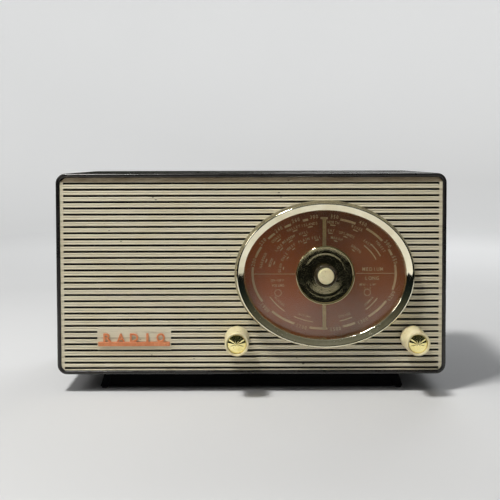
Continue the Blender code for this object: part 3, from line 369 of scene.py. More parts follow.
def cream_material():
    """Old ivory plastic, with grime that follows the panel's grooves, painted shade in the grooves and the
    bars' creases, and a painted shadow under the top rim.
    """
    m = Nodes("ivory_panel_plastic")
    broad = m.noise(14, 3, 0.55)
    base = m.ramp(broad, (0.3, srgb(222, 213, 186)), (0.7, srgb(229, 221, 197)))
    warm = m.span(m.noise(45, 4, 0.6), 0.45, 0.75, 0.0, 0.5)
    base = m.mix(warm, base, srgb(214, 202, 168))
    _, y, z = m.axes()
    row = m.maths("DIVIDE", m.maths("SUBTRACT", z, BOTTOM + FIRST_GROOVE), GROOVE_PITCH)
    away = m.maths("ABSOLUTE", m.maths("SUBTRACT", m.maths("FRACT", m.plus(row, 0.5)), 0.5))
    edge = m.span(away, 0.155, 0.26, 1.0, 0.0)
    grime = m.span(m.noise(160, 4, 0.65, stretch=(0.35, 1, 1.6)), 0.40, 0.72)
    base = m.mix(m.times(m.times(edge, grime), 0.55), base, srgb(120, 100, 66))
    # Painted shade: the crease along each bar's middle is darkened a little.
    crease = m.span(away, 0.42, 0.5)
    base = m.stain(base, crease, 0.22, srgb(168, 156, 124))
    # Painted shade: faces more than about a millimetre behind the front, the grooves' walls and floors, go
    # nearly black.
    deep = m.span(y, PANEL_Y + 0.22 * MM, PANEL_Y + 1.0 * MM)
    base = m.stain(base, deep, 0.97, srgb(13, 10, 7))
    # Painted shadow of the top rim: a streaky darker band along the panel's top edge.
    rim_shade_band = m.span(z, BOTTOM + CASE_HEIGHT - 8.2 * MM, BOTTOM + CASE_HEIGHT - 7.0 * MM)
    rim_shade_streaks = m.span(m.noise(60, 4, 0.65, stretch=(1, 1, 3)), 0.3, 0.6, 0.72, 0.95)
    base = m.mix(m.times(rim_shade_band, rim_shade_streaks), base, srgb(120, 104, 80))
    chips = m.span(m.cells(120, stretch=(0.6, 1, 1.4)), 0.06, 0.10, 1.0, 0.0)
    chips = m.times(chips, m.span(m.noise(18, 2), 0.46, 0.58))
    base = m.stain(base, chips, 0.8, srgb(66, 52, 36))
    specks = m.span(m.noise(1300, 2, 0.6), 0.70, 0.76)
    base = m.stain(base, specks, 0.5, srgb(96, 80, 56))
    rough = m.span(m.noise(70, 4, 0.6), 0.3, 0.7, 0.36, 0.56)
    rough = m.plus(rough, m.times(specks, 0.15))
    normal = m.bump(m.noise(650, 3), 0.00003, 0.5)
    normal = m.bump(m.noise(60, 2), 0.0003, 0.2, normal)
    normal = m.bump(m.times(chips, -1.0), 0.0002, 0.6, normal)
    m.set(Base_Color=base, Roughness=rough, Normal=normal, Specular_IOR_Level=0.26)
    m.set(Subsurface_Weight=0.06)
    m.shader.inputs["Subsurface Radius"].default_value = (0.002, 0.0015, 0.0008)
    return m.material


def knob_material(name):
    m = Nodes(name)
    cloud = m.noise(90, 4, 0.6)
    base = m.ramp(cloud, (0.3, srgb(232, 219, 172)), (0.7, srgb(240, 230, 192)))
    amber = m.span(m.noise(220, 3, 0.65), 0.5, 0.75, 0.0, 0.5)
    base = m.mix(amber, base, srgb(206, 184, 128))
    grime = m.span(m.noise(800, 3, 0.7), 0.62, 0.75)
    base = m.stain(base, grime, 0.5, srgb(128, 100, 56))
    rough = m.span(cloud, 0.3, 0.7, 0.26, 0.42)
    normal = m.bump(m.noise(900, 3), 0.00003, 0.5)
    m.set(Base_Color=base, Roughness=rough, Normal=normal, Subsurface_Weight=0.12)
    m.shader.inputs["Subsurface Radius"].default_value = (0.003, 0.002, 0.001)
    return m.material


def coral_material():
    m = Nodes("coral_badge_plastic")
    cloud = m.noise(140, 4, 0.6)
    base = m.ramp(cloud, (0.3, srgb(208, 122, 74)), (0.7, srgb(226, 144, 94)))
    fade = m.span(m.noise(420, 3, 0.7), 0.55, 0.72, 0.0, 0.5)
    base = m.mix(fade, base, srgb(238, 176, 138))
    grime = m.span(m.noise(1000, 2, 0.6), 0.66, 0.74)
    base = m.stain(base, grime, 0.6, srgb(110, 62, 44))
    m.set(Base_Color=base, Roughness=m.span(cloud, 0.3, 0.7, 0.36, 0.55))
    m.set(Normal=m.bump(m.noise(800, 3), 0.00004, 0.5))
    return m.material


def bezel_material():
    """Polished plate, pitted towards the bottom of the ring."""
    m = Nodes("polished_bezel_plate")
    _, _, z = m.axes()
    low = m.span(z, DIAL_Z - HALF_H, DIAL_Z + 12 * MM, 1.0, 0.0)
    pits = m.span(m.cells(520), 0.14, 0.30, 1.0, 0.0)
    pits = m.times(m.times(pits, m.span(m.noise(160, 3, 0.7), 0.48, 0.62)), low)
    haze = m.span(m.noise(60, 4, 0.65), 0.35, 0.75)
    base = m.mix(haze, srgb(240, 235, 214), srgb(220, 212, 184))
    base = m.stain(base, pits, 0.9, srgb(58, 50, 36))
    rough = m.plus(m.times(haze, 0.07), m.times(pits, 0.5))
    rough = m.plus(rough, 0.035)
    normal = m.bump(m.times(pits, -1.0), 0.0001, 0.7)
    normal = m.bump(m.noise(240, 3), 0.00006, 0.35, normal)
    m.set(Base_Color=base, Metallic=1.0, Roughness=rough, Normal=normal)
    return m.material


def worn_material(name, cloud, shades, wear, rough, bump, **more):
    """Cloudy colour worn in patches; wear holds the patches' scale, span, strength and colour."""
    m = Nodes(name)
    scale, grain = cloud
    cloud = m.noise(scale, 4, grain)
    base = m.ramp(cloud, (0.3, srgb(*shades[0])), (0.7, srgb(*shades[1])))
    patches, low, high, strength, colour = wear
    worn = m.span(m.noise(patches, 3, 0.7), low, high)
    base = m.stain(base, worn, strength, srgb(*colour))
    m.set(Base_Color=base, Roughness=m.span(cloud, 0.3, 0.7, *rough), Normal=m.bump(cloud, *bump), **more)
    return m.material


def window_material():
    """Clear plastic pane: mostly see-through, with a gloss and a thin haze."""
    m = Nodes("clear_pane")
    smear = m.noise(30, 4, 0.6, stretch=(1, 1, 2.2))
    haze = m.span(smear, 0.35, 0.8, 0.006, 0.03)
    scratch = m.span(m.noise(420, 3, 0.7, stretch=(1, 1, 5)), 0.66, 0.72, 0.0, 0.05)
    through = m.node("ShaderNodeBsdfTransparent")
    through.inputs["Color"].default_value = (0.94, 0.92, 0.88, 1)
    m.set(Base_Color=m.mix(smear, (0.60, 0.56, 0.50), (0.72, 0.69, 0.64)))
    m.set(Roughness=m.span(smear, 0.3, 0.8, 0.03, 0.09))
    m.set(Normal=m.bump(m.noise(22, 1), 0.0006, 0.10), IOR=1.49)
    facing = m.node("ShaderNodeLayerWeight").outputs["Facing"]
    mirror = m.maths("MULTIPLY_ADD", m.maths("POWER", facing, 5.0), 0.96, 0.04)
    gloss = m.node("ShaderNodeBsdfGlossy")
    gloss.inputs["Color"].default_value = (1, 1, 1, 1)
    gloss.inputs["Roughness"].default_value = 0.16
    hazed = m.node("ShaderNodeMixShader")
    m.put(hazed.inputs[0], m.maths("ADD", haze, scratch, clamp=True))
    m.tree.links.new(through.outputs[0], hazed.inputs[1])
    m.tree.links.new(m.shader.outputs[0], hazed.inputs[2])
    mix = m.node("ShaderNodeMixShader")
    m.put(mix.inputs[0], mirror)
    m.tree.links.new(hazed.outputs[0], mix.inputs[1])
    m.tree.links.new(gloss.outputs[0], mix.inputs[2])
    m.tree.links.new(mix.outputs[0], m.out.inputs["Surface"])
    return m.material


def plate_material():
    """Brown lacquered dial, warmer at the left, with painted shadow darkening it under the top edge."""
    m = Nodes("dial_lacquer")
    x, _, z = m.axes()
    across = m.span(x, DIAL_X - 60 * MM, DIAL_X + 20 * MM)
    base = m.mix(across, srgb(178, 90, 34), srgb(152, 84, 40))
    # Painted shadow: the bezel's shade darkens the dial under its top edge.
    top = m.span(z, DIAL_Z + 24 * MM, DIAL_Z + 56 * MM)
    base = m.stain(base, top, 0.75, srgb(72, 45, 32))
    low = m.span(z, DIAL_Z - 56 * MM, DIAL_Z - 18 * MM, 1.0, 0.0)
    base = m.stain(base, low, 0.5, srgb(136, 84, 50))
    glow = m.span(m.noise(26, 4, 0.6), 0.42, 0.70)
    base = m.stain(base, glow, 0.45, srgb(172, 98, 44))
    fleck = m.span(m.noise(1100, 2, 0.7), 0.60, 0.74)
    base = m.stain(base, fleck, 0.35, srgb(150, 108, 74))
    rough = m.span(m.noise(200, 3), 0.3, 0.7, 0.38, 0.55)
    m.set(Base_Color=base, Roughness=rough, Normal=m.bump(m.noise(500, 3), 0.00004, 0.4))
    return m.material


def gilt_material(name, x, z, spokes, base_pair, rough_pair=(0.08, 0.2)):
    """Spun gilt metal: fine turning rings, and radial marks where spokes is set."""
    m = Nodes(name)
    radius, angle = m.ring_distance(x, z)
    rings = m.maths("SINE", m.times(radius, 26000.0))
    cloud = m.noise(180, 4, 0.65)
    base = m.ramp(cloud, (0.3, base_pair[0]), (0.7, base_pair[1]))
    tarnish = m.span(m.noise(700, 3, 0.7), 0.58, 0.72)
    base = m.stain(base, tarnish, 0.45, srgb(92, 70, 30))
    rough = m.span(cloud, 0.3, 0.7, *rough_pair)
    rough = m.plus(rough, m.times(tarnish, 0.15))
    normal = m.bump(rings, 0.000004, 0.5)
    if spokes:
        rays = m.maths("SINE", m.times(angle, float(spokes)))
        normal = m.bump(rays, 0.00012, 0.6, normal)
    normal = m.bump(m.noise(320, 3), 0.00005, 0.3 if spokes else 0.08, normal)
    m.set(Base_Color=base, Metallic=1.0, Roughness=rough, Normal=normal)
    return m.material


def boss_material():
    m = Nodes("smoked_clear_boss")
    cloud = m.noise(260, 3, 0.6)
    base = m.ramp(cloud, (0.3, (0.020, 0.014, 0.007)), (0.7, (0.050, 0.036, 0.018)))
    m.set(Base_Color=base, Roughness=m.span(cloud, 0.3, 0.7, 0.05, 0.14))
    m.set(Coat_Weight=0.6, Coat_Roughness=0.05)
    m.set(Normal=m.bump(m.noise(500, 2), 0.00003, 0.3))
    return m.material


def cloth_material():
    m = Nodes("woven_speaker_cloth")
    x, _, z = m.axes()
    pitch = 2 * math.pi / (0.9 * MM)
    warp = m.maths("SINE", m.times(x, pitch))
    weft = m.maths("SINE", m.times(z, pitch))
    weave = m.times(warp, weft)
    thread = m.span(weave, -0.4, 0.6)
    base = m.mix(thread, (0.006, 0.005, 0.004), (0.030, 0.024, 0.018))
    fluff = m.span(m.noise(900, 3, 0.7), 0.5, 0.75, 0.0, 0.5)
    base = m.mix(fluff, base, (0.05, 0.042, 0.032))
    m.set(Base_Color=base, Roughness=m.span(thread, 0, 1, 0.98, 0.86), Normal=m.bump(weave, 0.0002, 0.8))
    return m.material


def board_material(name, dark, light):
    """Pressed hardboard: matted fibres in two directions."""
    m = Nodes(name)
    fibres = m.noise(260, 5, 0.75, stretch=(0.25, 1, 1.6))
    cross = m.noise(300, 5, 0.75, stretch=(1.6, 1, 0.25))
    mat = m.times(m.plus(fibres, cross), 0.5)
    base = m.ramp(mat, (0.32, dark), (0.68, light))
    stain = m.span(m.noise(18, 3, 0.6), 0.5, 0.7, 0.0, 0.35)
    base = m.mix(stain, base, tuple(c * 0.45 for c in dark))
    fleck = m.span(m.noise(1500, 2, 0.6), 0.66, 0.74)
    base = m.stain(base, fleck, 0.4, light)
    m.set(Base_Color=base, Roughness=m.span(mat, 0.3, 0.7, 0.72, 0.92), Normal=m.bump(mat, 0.0002, 0.5))
    return m.material


def metal_material(name, low, high, rough_low, rough_high, grain=(1, 1, 9), rust=None):
    m = Nodes(name)
    brushed = m.noise(420, 4, 0.65, stretch=grain)
    cloud = m.noise(40, 4, 0.6)
    base = m.ramp(m.times(m.plus(brushed, cloud), 0.5), (0.35, low), (0.65, high))
    if rust:
        spots = m.span(m.noise(200, 4, 0.7), 0.58, 0.68)
        base = m.stain(base, spots, 0.6, rust)
    rough = m.span(brushed, 0.3, 0.7, rough_low, rough_high)
    m.set(Base_Color=base, Metallic=1.0, Roughness=rough, Normal=m.bump(brushed, 0.00005, 0.5))
    return m.material


def plain_material(name, low, high, rough, scale=200, distance=0.00006, **more):
    """Cloudy colour with a fine surface, for moulded, painted and rubber parts."""
    m = Nodes(name)
    cloud = m.noise(scale, 4, 0.65)
    fine = m.noise(scale * 6, 3, 0.7)
    base = m.ramp(m.times(m.plus(cloud, fine), 0.5), (0.35, low), (0.65, high))
    m.set(Base_Color=base, Roughness=m.span(cloud, 0.3, 0.7, *rough), Normal=m.bump(fine, distance, 0.5))
    m.set(**more)
    return m.material


def glass_material():
    """Valve glass: smoky and silvered at the top, clearer lower down."""
    m = Nodes("valve_glass")
    _, _, z = m.axes()
    top = m.span(z, 0.108, 0.119)
    getter = m.times(top, m.span(m.noise(160, 3), 0.3, 0.6, 0.6, 1.0))
    base = m.mix(getter, (0.10, 0.11, 0.11), (0.30, 0.30, 0.29))
    m.set(Base_Color=base, Metallic=m.times(getter, 0.8))
    m.set(Roughness=m.span(getter, 0, 1, 0.06, 0.2))
    m.set(Coat_Weight=0.8, Coat_Roughness=0.04, Normal=m.bump(m.noise(300, 2), 0.00004, 0.3))
    return m.material


FLOOR_SHADE = (0.66, 0.668, 0.68)
CARD_SHADE = (0.86, 0.86, 0.84)
# Painted light: the floor and wall glow more the farther they lie from the middle, standing in for lamplight.
SWEEP_GLOW = ((0.0, 0.0), (0.25, 0.0), (0.6, 0.05), (1.1, 0.24), (1.7, 0.35), (2.5, 0.54))


def floor_material(name, shade, glow=()):
    """Pale paper; glow holds (distance from the middle, strength) stops of a painted glow that stands in for
    lamplight on the sweep.
    """
    m = Nodes(name)
    cloud = m.noise(3, 3, 0.5)
    base = m.ramp(cloud, (0.3, tuple(0.985 * c for c in shade)), (0.7, tuple(1.015 * c for c in shade)))
    m.set(Base_Color=base, Roughness=0.9, Normal=m.bump(m.noise(700, 2), 0.0001, 0.1), Specular_IOR_Level=0.1)
    if glow:
        reach = m.node("ShaderNodeVectorMath", operation="LENGTH")
        m.put(reach.inputs[0], m.stretched((1, 1, 0)))
        share = m.maths("DIVIDE", reach.outputs["Value"], glow[-1][0])
        # Painted light: emission that grows with distance from the middle.
        m.set(Emission_Color=(0.99, 1.0, 1.0))
        m.put(m.shader.inputs["Emission Strength"], m.ramp(share, *((d / glow[-1][0], v) for d, v in glow)))
    return m.material


BLACK = case_material()
CREAM = cream_material()
KNOB = knob_material("aged_knob_plastic")
CORAL = coral_material()
CHROME = bezel_material()
# Painted shade: a darkened copy of the ivory, laid on the panel's collar round the bezel.
SHADED_COLLAR = worn_material(
    "collar_painted_shade", (120, 0.65), ((128, 120, 96), (168, 160, 128)),
    (500, 0.5, 0.7, 0.6, (74, 64, 42)), (0.35, 0.55), (0.00008, 0.4),
)
PANE = window_material()
LACQUER = plate_material()
PRINT = worn_material(
    "dial_gold_print", (120, 0.7), ((208, 180, 134), (230, 206, 162)),
    (700, 0.55, 0.7, 0.55, (162, 124, 84)), (0.4, 0.6), (0.00005, 0.4),
)
GOLD_PAINT = worn_material(
    "pointer_gold_paint", (300, 0.7), ((184, 158, 110), (212, 188, 136)),
    (1100, 0.58, 0.7, 0.5, (110, 84, 52)), (0.3, 0.5), (0.00005, 0.5), Metallic=0.35,
)
BOSS_CLEAR = boss_material()
CLOTH = cloth_material()
INNER_BLACK = plain_material(
    "matt_black_moulding", (0.0012, 0.0014, 0.0018), (0.0032, 0.0034, 0.0040), (0.75, 0.95),
    Specular_IOR_Level=0.06,
)
RUBBER = plain_material("foot_rubber", (0.010, 0.010, 0.010), (0.028, 0.027, 0.026), (0.7, 0.9))


# ---------------------------------------------------------------- louvred panel


# A bar's depth in millimetres by its share of the way from a groove's edge to the crease.
BAR_SECTION = (
    (0.0, 0.55), (0.06, 0.26), (0.14, 0.09), (0.28, 0.0),
    (0.52, 0.02), (0.72, 0.13), (0.88, 0.30), (1.0, 0.36),
)


def panel_profile(offset):
    """Depth in metres at a distance from the middle of a groove, over one pitch of groove and bar.

    A bar has a soft edge, a fine ridge, a shallow crease along its middle and the same again.
    """
    away = abs(offset)
    half = GROOVE_PITCH / 2
    if away <= GROOVE_HALF:
        return GROOVE_DEPTH
    along = (away - GROOVE_HALF) / (half - GROOVE_HALF)
    for (a, deep_a), (b, deep_b) in zip(BAR_SECTION, BAR_SECTION[1:]):
        if along <= b:
            return (deep_a + (deep_b - deep_a) * (along - a) / (b - a)) * MM
    return BAR_SECTION[-1][1] * MM


def panel_lines():
    """Heights of the panel's mesh lines over the case's underside, each with its depth below the face."""
    shares = [share for share, _ in BAR_SECTION]
    half = GROOVE_PITCH / 2
    lines = []
    middles = [EDGE_GROOVE] + [FIRST_GROOVE + i * GROOVE_PITCH for i in range(GROOVE_ROWS)]
    for number, middle in enumerate(middles):
        for side in (-1, 1):
            if side > 0:
                lines.append((middle - GROOVE_HALF, GROOVE_DEPTH))
                lines.append((middle + GROOVE_HALF, GROOVE_DEPTH))
            for share in reversed(shares) if side < 0 else shares:
                away = GROOVE_HALF + share * (half - GROOVE_HALF)
                first, last = number == 0, number == len(middles) - 1
                flat = (side < 0 and number <= 1) or (side > 0 and (last or first))
                depth = panel_profile(away + 1e-9)
                if flat:
                    if share > 0.3:
                        continue
                    depth = depth if share < 0.28 else 0.0
                lines.append((middle + side * away, depth))
    cleaned = []
    for height, depth in lines:
        if cleaned and abs(height - cleaned[-1][0]) < 1e-7 and abs(depth - cleaned[-1][1]) < 1e-7:
            continue
        cleaned.append((height, depth))
    return cleaned


def grille_shape():
    """The panel as a grid: its lines run across, and its columns stop the rows at frame, pad and collar."""
    inset = CASE_HALF - PANEL[1].x
    low, high = PANEL[0].z - BOTTOM, PANEL[1].z - BOTTOM
    lines = [(low, 0.0)] + panel_lines() + [(high, 0.0)]
    end = GROOVE_END
    reach_w, reach_h = HALF_W + COLLAR, HALF_H + COLLAR
    corner = CORNER - inset
    shape = bmesh.new()
    back_y = PANEL[1].y
    rows = []
    for height, depth in lines:
        z = BOTTOM + height
        off = z - DIAL_Z
        inside = abs(off) < reach_h
        half = reach_w * math.sqrt(max(0.0, 1 - (off / reach_h) ** 2)) if inside else 0.0
        in_pad = PAD[2] <= height <= PAD[3]
        edge = PANEL[1].x
        near = min(height - low, high - height)
        if near < corner:
            edge -= corner - math.sqrt(max(0.0, corner**2 - (corner - near) ** 2))
        y, face = PANEL_Y + depth, PANEL_Y
        pad_y = face if in_pad else y
        collar_y = face if inside else y
        row = [
            (-edge, back_y), (-edge, face), (-end, face), (-end, y), (PAD[0], y), (PAD[0], pad_y),
            (PAD[1], pad_y), (PAD[1], y), (DIAL_X - half, y), (DIAL_X - half, collar_y),
            (DIAL_X + half, collar_y), (DIAL_X + half, y), (end, y), (end, face), (edge, face),
            (edge, back_y),
        ]
        rows.append([shape.verts.new((px, py, z)) for px, py in row])
    for near, far in zip(rows, rows[1:]):
        for i in range(len(near)):
            j = (i + 1) % len(near)
            shape.faces.new((near[i], near[j], far[j], far[i]))
    shape.faces.new(rows[0])
    shape.faces.new(rows[-1])
    return shape


def slot_cutters():
    """Through slots inside the round field, with ends on its circle and gaps at the ribs."""
    shape = bmesh.new()
    start, stop = PANEL_Y + GROOVE_DEPTH - 0.4 * MM, PANEL[1].y + 2 * MM
    half = GROOVE_HALF - 0.02 * MM
    for number in range(GROOVE_ROWS):
        z = BOTTOM + FIRST_GROOVE + number * GROOVE_PITCH
        off = z - SPEAKER_Z
        if abs(off) > OPENING - 2.5 * MM:
            continue
        reach = [math.sqrt(OPENING**2 - (off + side * half) ** 2) for side in (-1, 1)]
        edges = [-1e3, *[place * RIB_SPACING for place in (-1, 0, 1)], 1e3]
        for left, right in zip(edges, edges[1:]):
            lows = [max(left + RIB_HALF, -r) for r in reach]
            highs = [min(right - RIB_HALF, r) for r in reach]
            if min(highs[0] - lows[0], highs[1] - lows[1]) < 1.0 * MM:
                continue
            outline = [
                (SPEAKER_X + lows[0], z - half), (SPEAKER_X + highs[0], z - half),
                (SPEAKER_X + highs[1], z + half), (SPEAKER_X + lows[1], z + half),
            ]
            prism(outline, start, stop, shape)
    return shape


def make_panel():
    panel = finish_mesh(
        "grille_panel", grille_shape(), CREAM, "cabinet", ("front_grille",), sharp=0
    )
    cut_by(panel, slot_cutters())
    inner = 3.9 * MM
    holes = prism(
        ellipse(HALF_W - inner, HALF_H - inner, 128, DIAL_X, DIAL_Z), PANEL_Y - 5 * MM, PANEL[1].y + 5 * MM
    )
    for node in ("volume_spindle", "wave_spindle"):
        low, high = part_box(node)
        middle = (low + high) / 2
        outline = ellipse(3.3 * MM, 3.3 * MM, 32, middle.x, middle.z)
        prism(outline, PANEL_Y - 5 * MM, PANEL[1].y + 5 * MM, holes)
    cut_by(panel, holes)
    bake_modifiers(panel)
    panel.data.shade_smooth()
    panel.data.set_sharp_from_angle(angle=math.radians(50))


# ---------------------------------------------------------------- case, feet, badge


def make_case():
    back = (SHELL[1].y - PANEL_Y) / MM
    seat = back - 5.0
    profile = [
        (0.0, 0.6), (0.10, -0.05), (0.38, -0.60), (0.82, -1.00), (1.40, -1.20), (2.10, -1.20),
        (2.75, -1.00), (3.15, -0.60), (3.30, -0.05), (3.30, 4.30), (4.50, 4.30), (4.50, seat),
        (3.00, seat), (3.00, back - 0.5), (2.70, back - 0.1), (2.40, back), (1.00, back),
        (0.50, back - 0.13), (0.13, back - 0.50), (0.0, back - 1.0),
    ]
    rings = [[(x, behind(depth), z) for x, z in rounded_outline(inset * MM)] for inset, depth in profile]
    shape = swept(rings)
    post, length = 10.0, 20.0
    for sx in (-1, 1):
        for sz in (-1, 1):
            x_in = sx * (CASE_HALF - (4.5 + post) * MM)
            x_out = sx * (CASE_HALF - 4.0 * MM)
            middle = BOTTOM + CASE_HEIGHT / 2
            z_in = middle + sz * (CASE_HEIGHT / 2 - (4.5 + post) * MM)
            z_out = middle + sz * (CASE_HEIGHT / 2 - 4.0 * MM)
            chamfer_x, chamfer_z = x_out - sx * 3 * MM, z_out - sz * 3 * MM
            outline = [(x_in, z_in), (x_out, z_in), (x_out, chamfer_z), (chamfer_x, z_out), (x_in, z_out)]
            prism(outline, behind(seat - length), behind(seat) - 0.01 * MM, shape)
    finish_mesh("cabinet_case", shape, BLACK, "cabinet", ("cabinet_shell",), sharp=50)


def rounded_ring(x0, x1, y0, y1, radius, z, side=1):
    """A level ring of points with round corners; a side of -1 mirrors it in x."""
    left, right, near, far = x0 + radius, x1 - radius, y0 + radius, y1 - radius
    ring = []
    for corner, (cx, cy) in enumerate(((right, far), (left, far), (left, near), (right, near))):
        for step in range(5):
            angle = math.pi / 2 * (corner + step / 4)
            ring.append((side * (cx + radius * math.cos(angle)), cy + radius * math.sin(angle), z))
    return ring


def make_feet():
    """Two splayed, slightly bowed runners, each on a rubber tread."""
    inner_top, outer_top = 121.5, 131.0
    inner_bottom, outer_bottom = 128.0, 135.0
    top = BOTTOM - 0.3 * MM
    rows = 7
    for name, side in (("left", -1), ("right", 1)):
        low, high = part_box(f"{name}_foot")
        rings = []
        for i in range(rows):
            share = i / (rows - 1)
            bow = math.sin(share * math.pi) * 0.6
            z = low.z + (top - low.z) * share
            inner = (inner_bottom + (inner_top - inner_bottom) * share - bow) * MM
            outer = (outer_bottom + (outer_top - outer_bottom) * share - bow * 0.4) * MM
            rings.append(rounded_ring(inner, outer, low.y, high.y, 1.4 * MM, z, side))
        runner = finish_mesh(
            f"{name}_runner", swept(rings, False, capped=True), INNER_BLACK, "cabinet",
            (f"{name}_foot",), sharp=50,
        )
        soften(runner, 0.4 * MM, 2, 50)
        low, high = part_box(f"{name}_foot_strip")
        rings = []
        for z, inwards in ((low.z, 0.25 * MM), (low.z + 0.3 * MM, 0.0), (high.z, 0.0)):
            x0, x1 = low.x + inwards, high.x - inwards
            rings.append(rounded_ring(x0, x1, low.y + inwards, high.y - inwards, 1.0 * MM, z))
        finish_mesh(
            f"{name}_tread", swept(rings, False, capped=True), RUBBER, "cabinet",
            (f"{name}_foot_strip",), sharp=50,
        )


def make_skirt():
    """The black front apron between the runners, with a rounded lower lip."""
    low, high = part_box("base_skirt")
    top = BOTTOM - 0.3 * MM
    reach = min(-low.x, high.x)
    outline = [(-reach, low.z), (reach, low.z), (reach - 6 * MM, top), (6 * MM - reach, top)]
    skirt = finish_mesh(
        "front_skirt", prism(outline, low.y, low.y + 4 * MM), INNER_BLACK, "cabinet",
        ("base_skirt",), sharp=50,
    )
    soften(skirt, 0.7 * MM, 3, 50)
    bake_modifiers(skirt)
    skirt.data.shade_smooth()
    skirt.data.set_sharp_from_angle(angle=math.radians(50))


LETTERS = {}
CAP_HEIGHT = 0.729  # of the built-in font, at a size of 1


def letter_mesh(text, bolder=0.0):
    """Mesh of some text in the built-in font, in x and y and one unit thick; made once for each text."""
    key = (text, bolder)
    if key not in LETTERS:
        curve = bpy.data.curves.new("letters", "FONT")
        curve.body = text
        curve.extrude = 0.5
        curve.offset = bolder
        curve.resolution_u = 3
        obj = add_object("letters", curve)
        graph = bpy.context.evaluated_depsgraph_get()
        mesh = bpy.data.meshes.new_from_object(obj.evaluated_get(graph))
        bpy.data.objects.remove(obj)
        LETTERS[key] = mesh
    return LETTERS[key]


def put_text(shape, text, x, z, height, face_y, thick, turn=0.0, width=None, squeeze=1.0, bolder=0.0):
    """Adds flat raised text to a shape: centre, cap height, angle in radians and optional full width."""
    mesh = letter_mesh(text, bolder)
    xs = [v.co.x for v in mesh.vertices]
    scale_y = height / CAP_HEIGHT
    scale_x = width / (max(xs) - min(xs)) if width else scale_y * squeeze
    middle_x = (max(xs) + min(xs)) / 2
    middle_y = CAP_HEIGHT / 2
    start = len(shape.verts)
    shape.from_mesh(mesh)
    shape.verts.ensure_lookup_table()
    c, s = math.cos(turn), math.sin(turn)
    for vert in shape.verts[start:]:
        lx = (vert.co.x - middle_x) * scale_x
        ly = (vert.co.y - middle_y) * scale_y
        deep = face_y - thick / 2 - vert.co.z * thick
        vert.co = (x + lx * c - ly * s, deep, z + lx * s + ly * c)


def make_badge():
    low, high = BAR
    shape = prism([(low.x, low.z), (high.x, low.z), (high.x, high.z), (low.x, high.z)], low.y, high.y)
    bar = finish_mesh("badge_strip", shape, CORAL, "cabinet", ("badge_bar",), sharp=50)
    soften(bar, 0.3 * MM, 2)
    letters = bmesh.new()
    word = "RADIO"
    left, right = PAD[0] + 3.2 * MM, PAD[1] - 3.2 * MM
    cell = (right - left) / len(word)
    height = 7.6 * MM
    base = high.z - 0.1 * MM
    for number, letter in enumerate(word):
        x = left + cell * (number + 0.5)
        width = (2.0 if letter == "I" else 7.4) * MM
        put_text(
            letters, letter, x, base + height / 2, height, PANEL_Y - 0.05 * MM, 1.1 * MM,
            width=width, bolder=0.028,
        )
    obj = finish_mesh("badge_letters", letters, CORAL, "cabinet", sharp=40)
    soften(obj, 0.12 * MM, 1, 60)


# ---------------------------------------------------------------- dial


def make_bezel():
    across = HALF_W - HALF_H
    profile = [
        (0.0, -0.3), (0.0, -6.4), (0.12, -7.05), (0.42, -7.60), (0.85, -7.93), (1.35, -8.0),
        (1.85, -7.86), (2.5, -7.46), (3.4, -6.90), (4.3, -6.38), (5.2, -5.90), (6.0, -5.52),
        (6.55, -5.20), (6.90, -4.75), (7.05, -4.20), (7.12, -1.00), (7.40, -0.75), (7.40, -0.45),
        (5.8, -0.45), (5.8, 4.4), (4.2, 4.4), (4.2, -0.3),
    ]
    outer = HALF_H / MM
    turned_profile = [(outer - inwards, depth) for inwards, depth in profile]
    shape = turned(turned_profile, DIAL_X, DIAL_Z, 192, stretch=across / MM)
    finish_mesh("bezel_ring", shape, CHROME, "cabinet", ("dial_bezel",), sharp=50)
    # The collar ring wears the darkened ivory: painted shade round the bezel.
    collar = [
        (outer - 0.05, -0.25), (outer - 0.05, 0.6), (outer + 1.55, 0.6), (outer + 1.55, -0.02),
        (outer + 1.45, -0.14), (outer + 1.25, -0.20), (outer + 0.4, -0.24),
    ]
    shape = turned(collar, DIAL_X, DIAL_Z, 192, stretch=across / MM)
    finish_mesh("bezel_collar", shape, SHADED_COLLAR, "cabinet", sharp=60)


# Radius in millimetres of the hole for the tuning spindle through the pane and the plate.
HOLE = 3.6


def washer(outer, stations):
    """A ring from the spindle's hole to an ellipse; stations hold (share of the way out, depth)."""
    across = (HALF_W - HALF_H) / MM
    loops = []
    for share, depth in stations:
        r = HOLE + (outer - HOLE) * share
        wide = r + across * share
        loops.append([(x, behind(depth), z) for x, z in ellipse(wide * MM, r * MM, 128, DIAL_X, DIAL_Z)])
    return swept(loops)


def make_window():
    front, back = (WINDOW[0].y - PANEL_Y) / MM, (WINDOW[1].y - PANEL_Y) / MM
    stations = [(share, front) for share in (0.0, 0.25, 0.5, 0.75, 0.97)] + [(1.0, front + 0.15)]
    stations += [(share, back) for share in (1.0, 0.75, 0.5, 0.25, 0.0)]
    shape = washer(HALF_H / MM - 6.1, stations)
    finish_mesh("dial_pane", shape, PANE, "cabinet", ("dial_window",), sharp=40)


def make_plate():
    front, back = (PLATE[0].y - PANEL_Y) / MM, (PLATE[1].y - PANEL_Y) / MM
    stations = ((0, front), (0.3, front), (0.6, front), (0.99, front), (1, front + 0.2), (1, back), (0, back))
    shape = washer(HALF_H / MM - 3.2, stations)
    finish_mesh("scale_plate", shape, LACQUER, "cabinet", ("dial_scale",), sharp=40)


PRINT_Y = PLATE[0].y + 0.01 * MM
PRINT_THICK = 0.06 * MM
# The gold ring's half width and half height in millimetres.
RING_X, RING_Z = 62.9, 48.7
ASPECT = RING_Z / RING_X


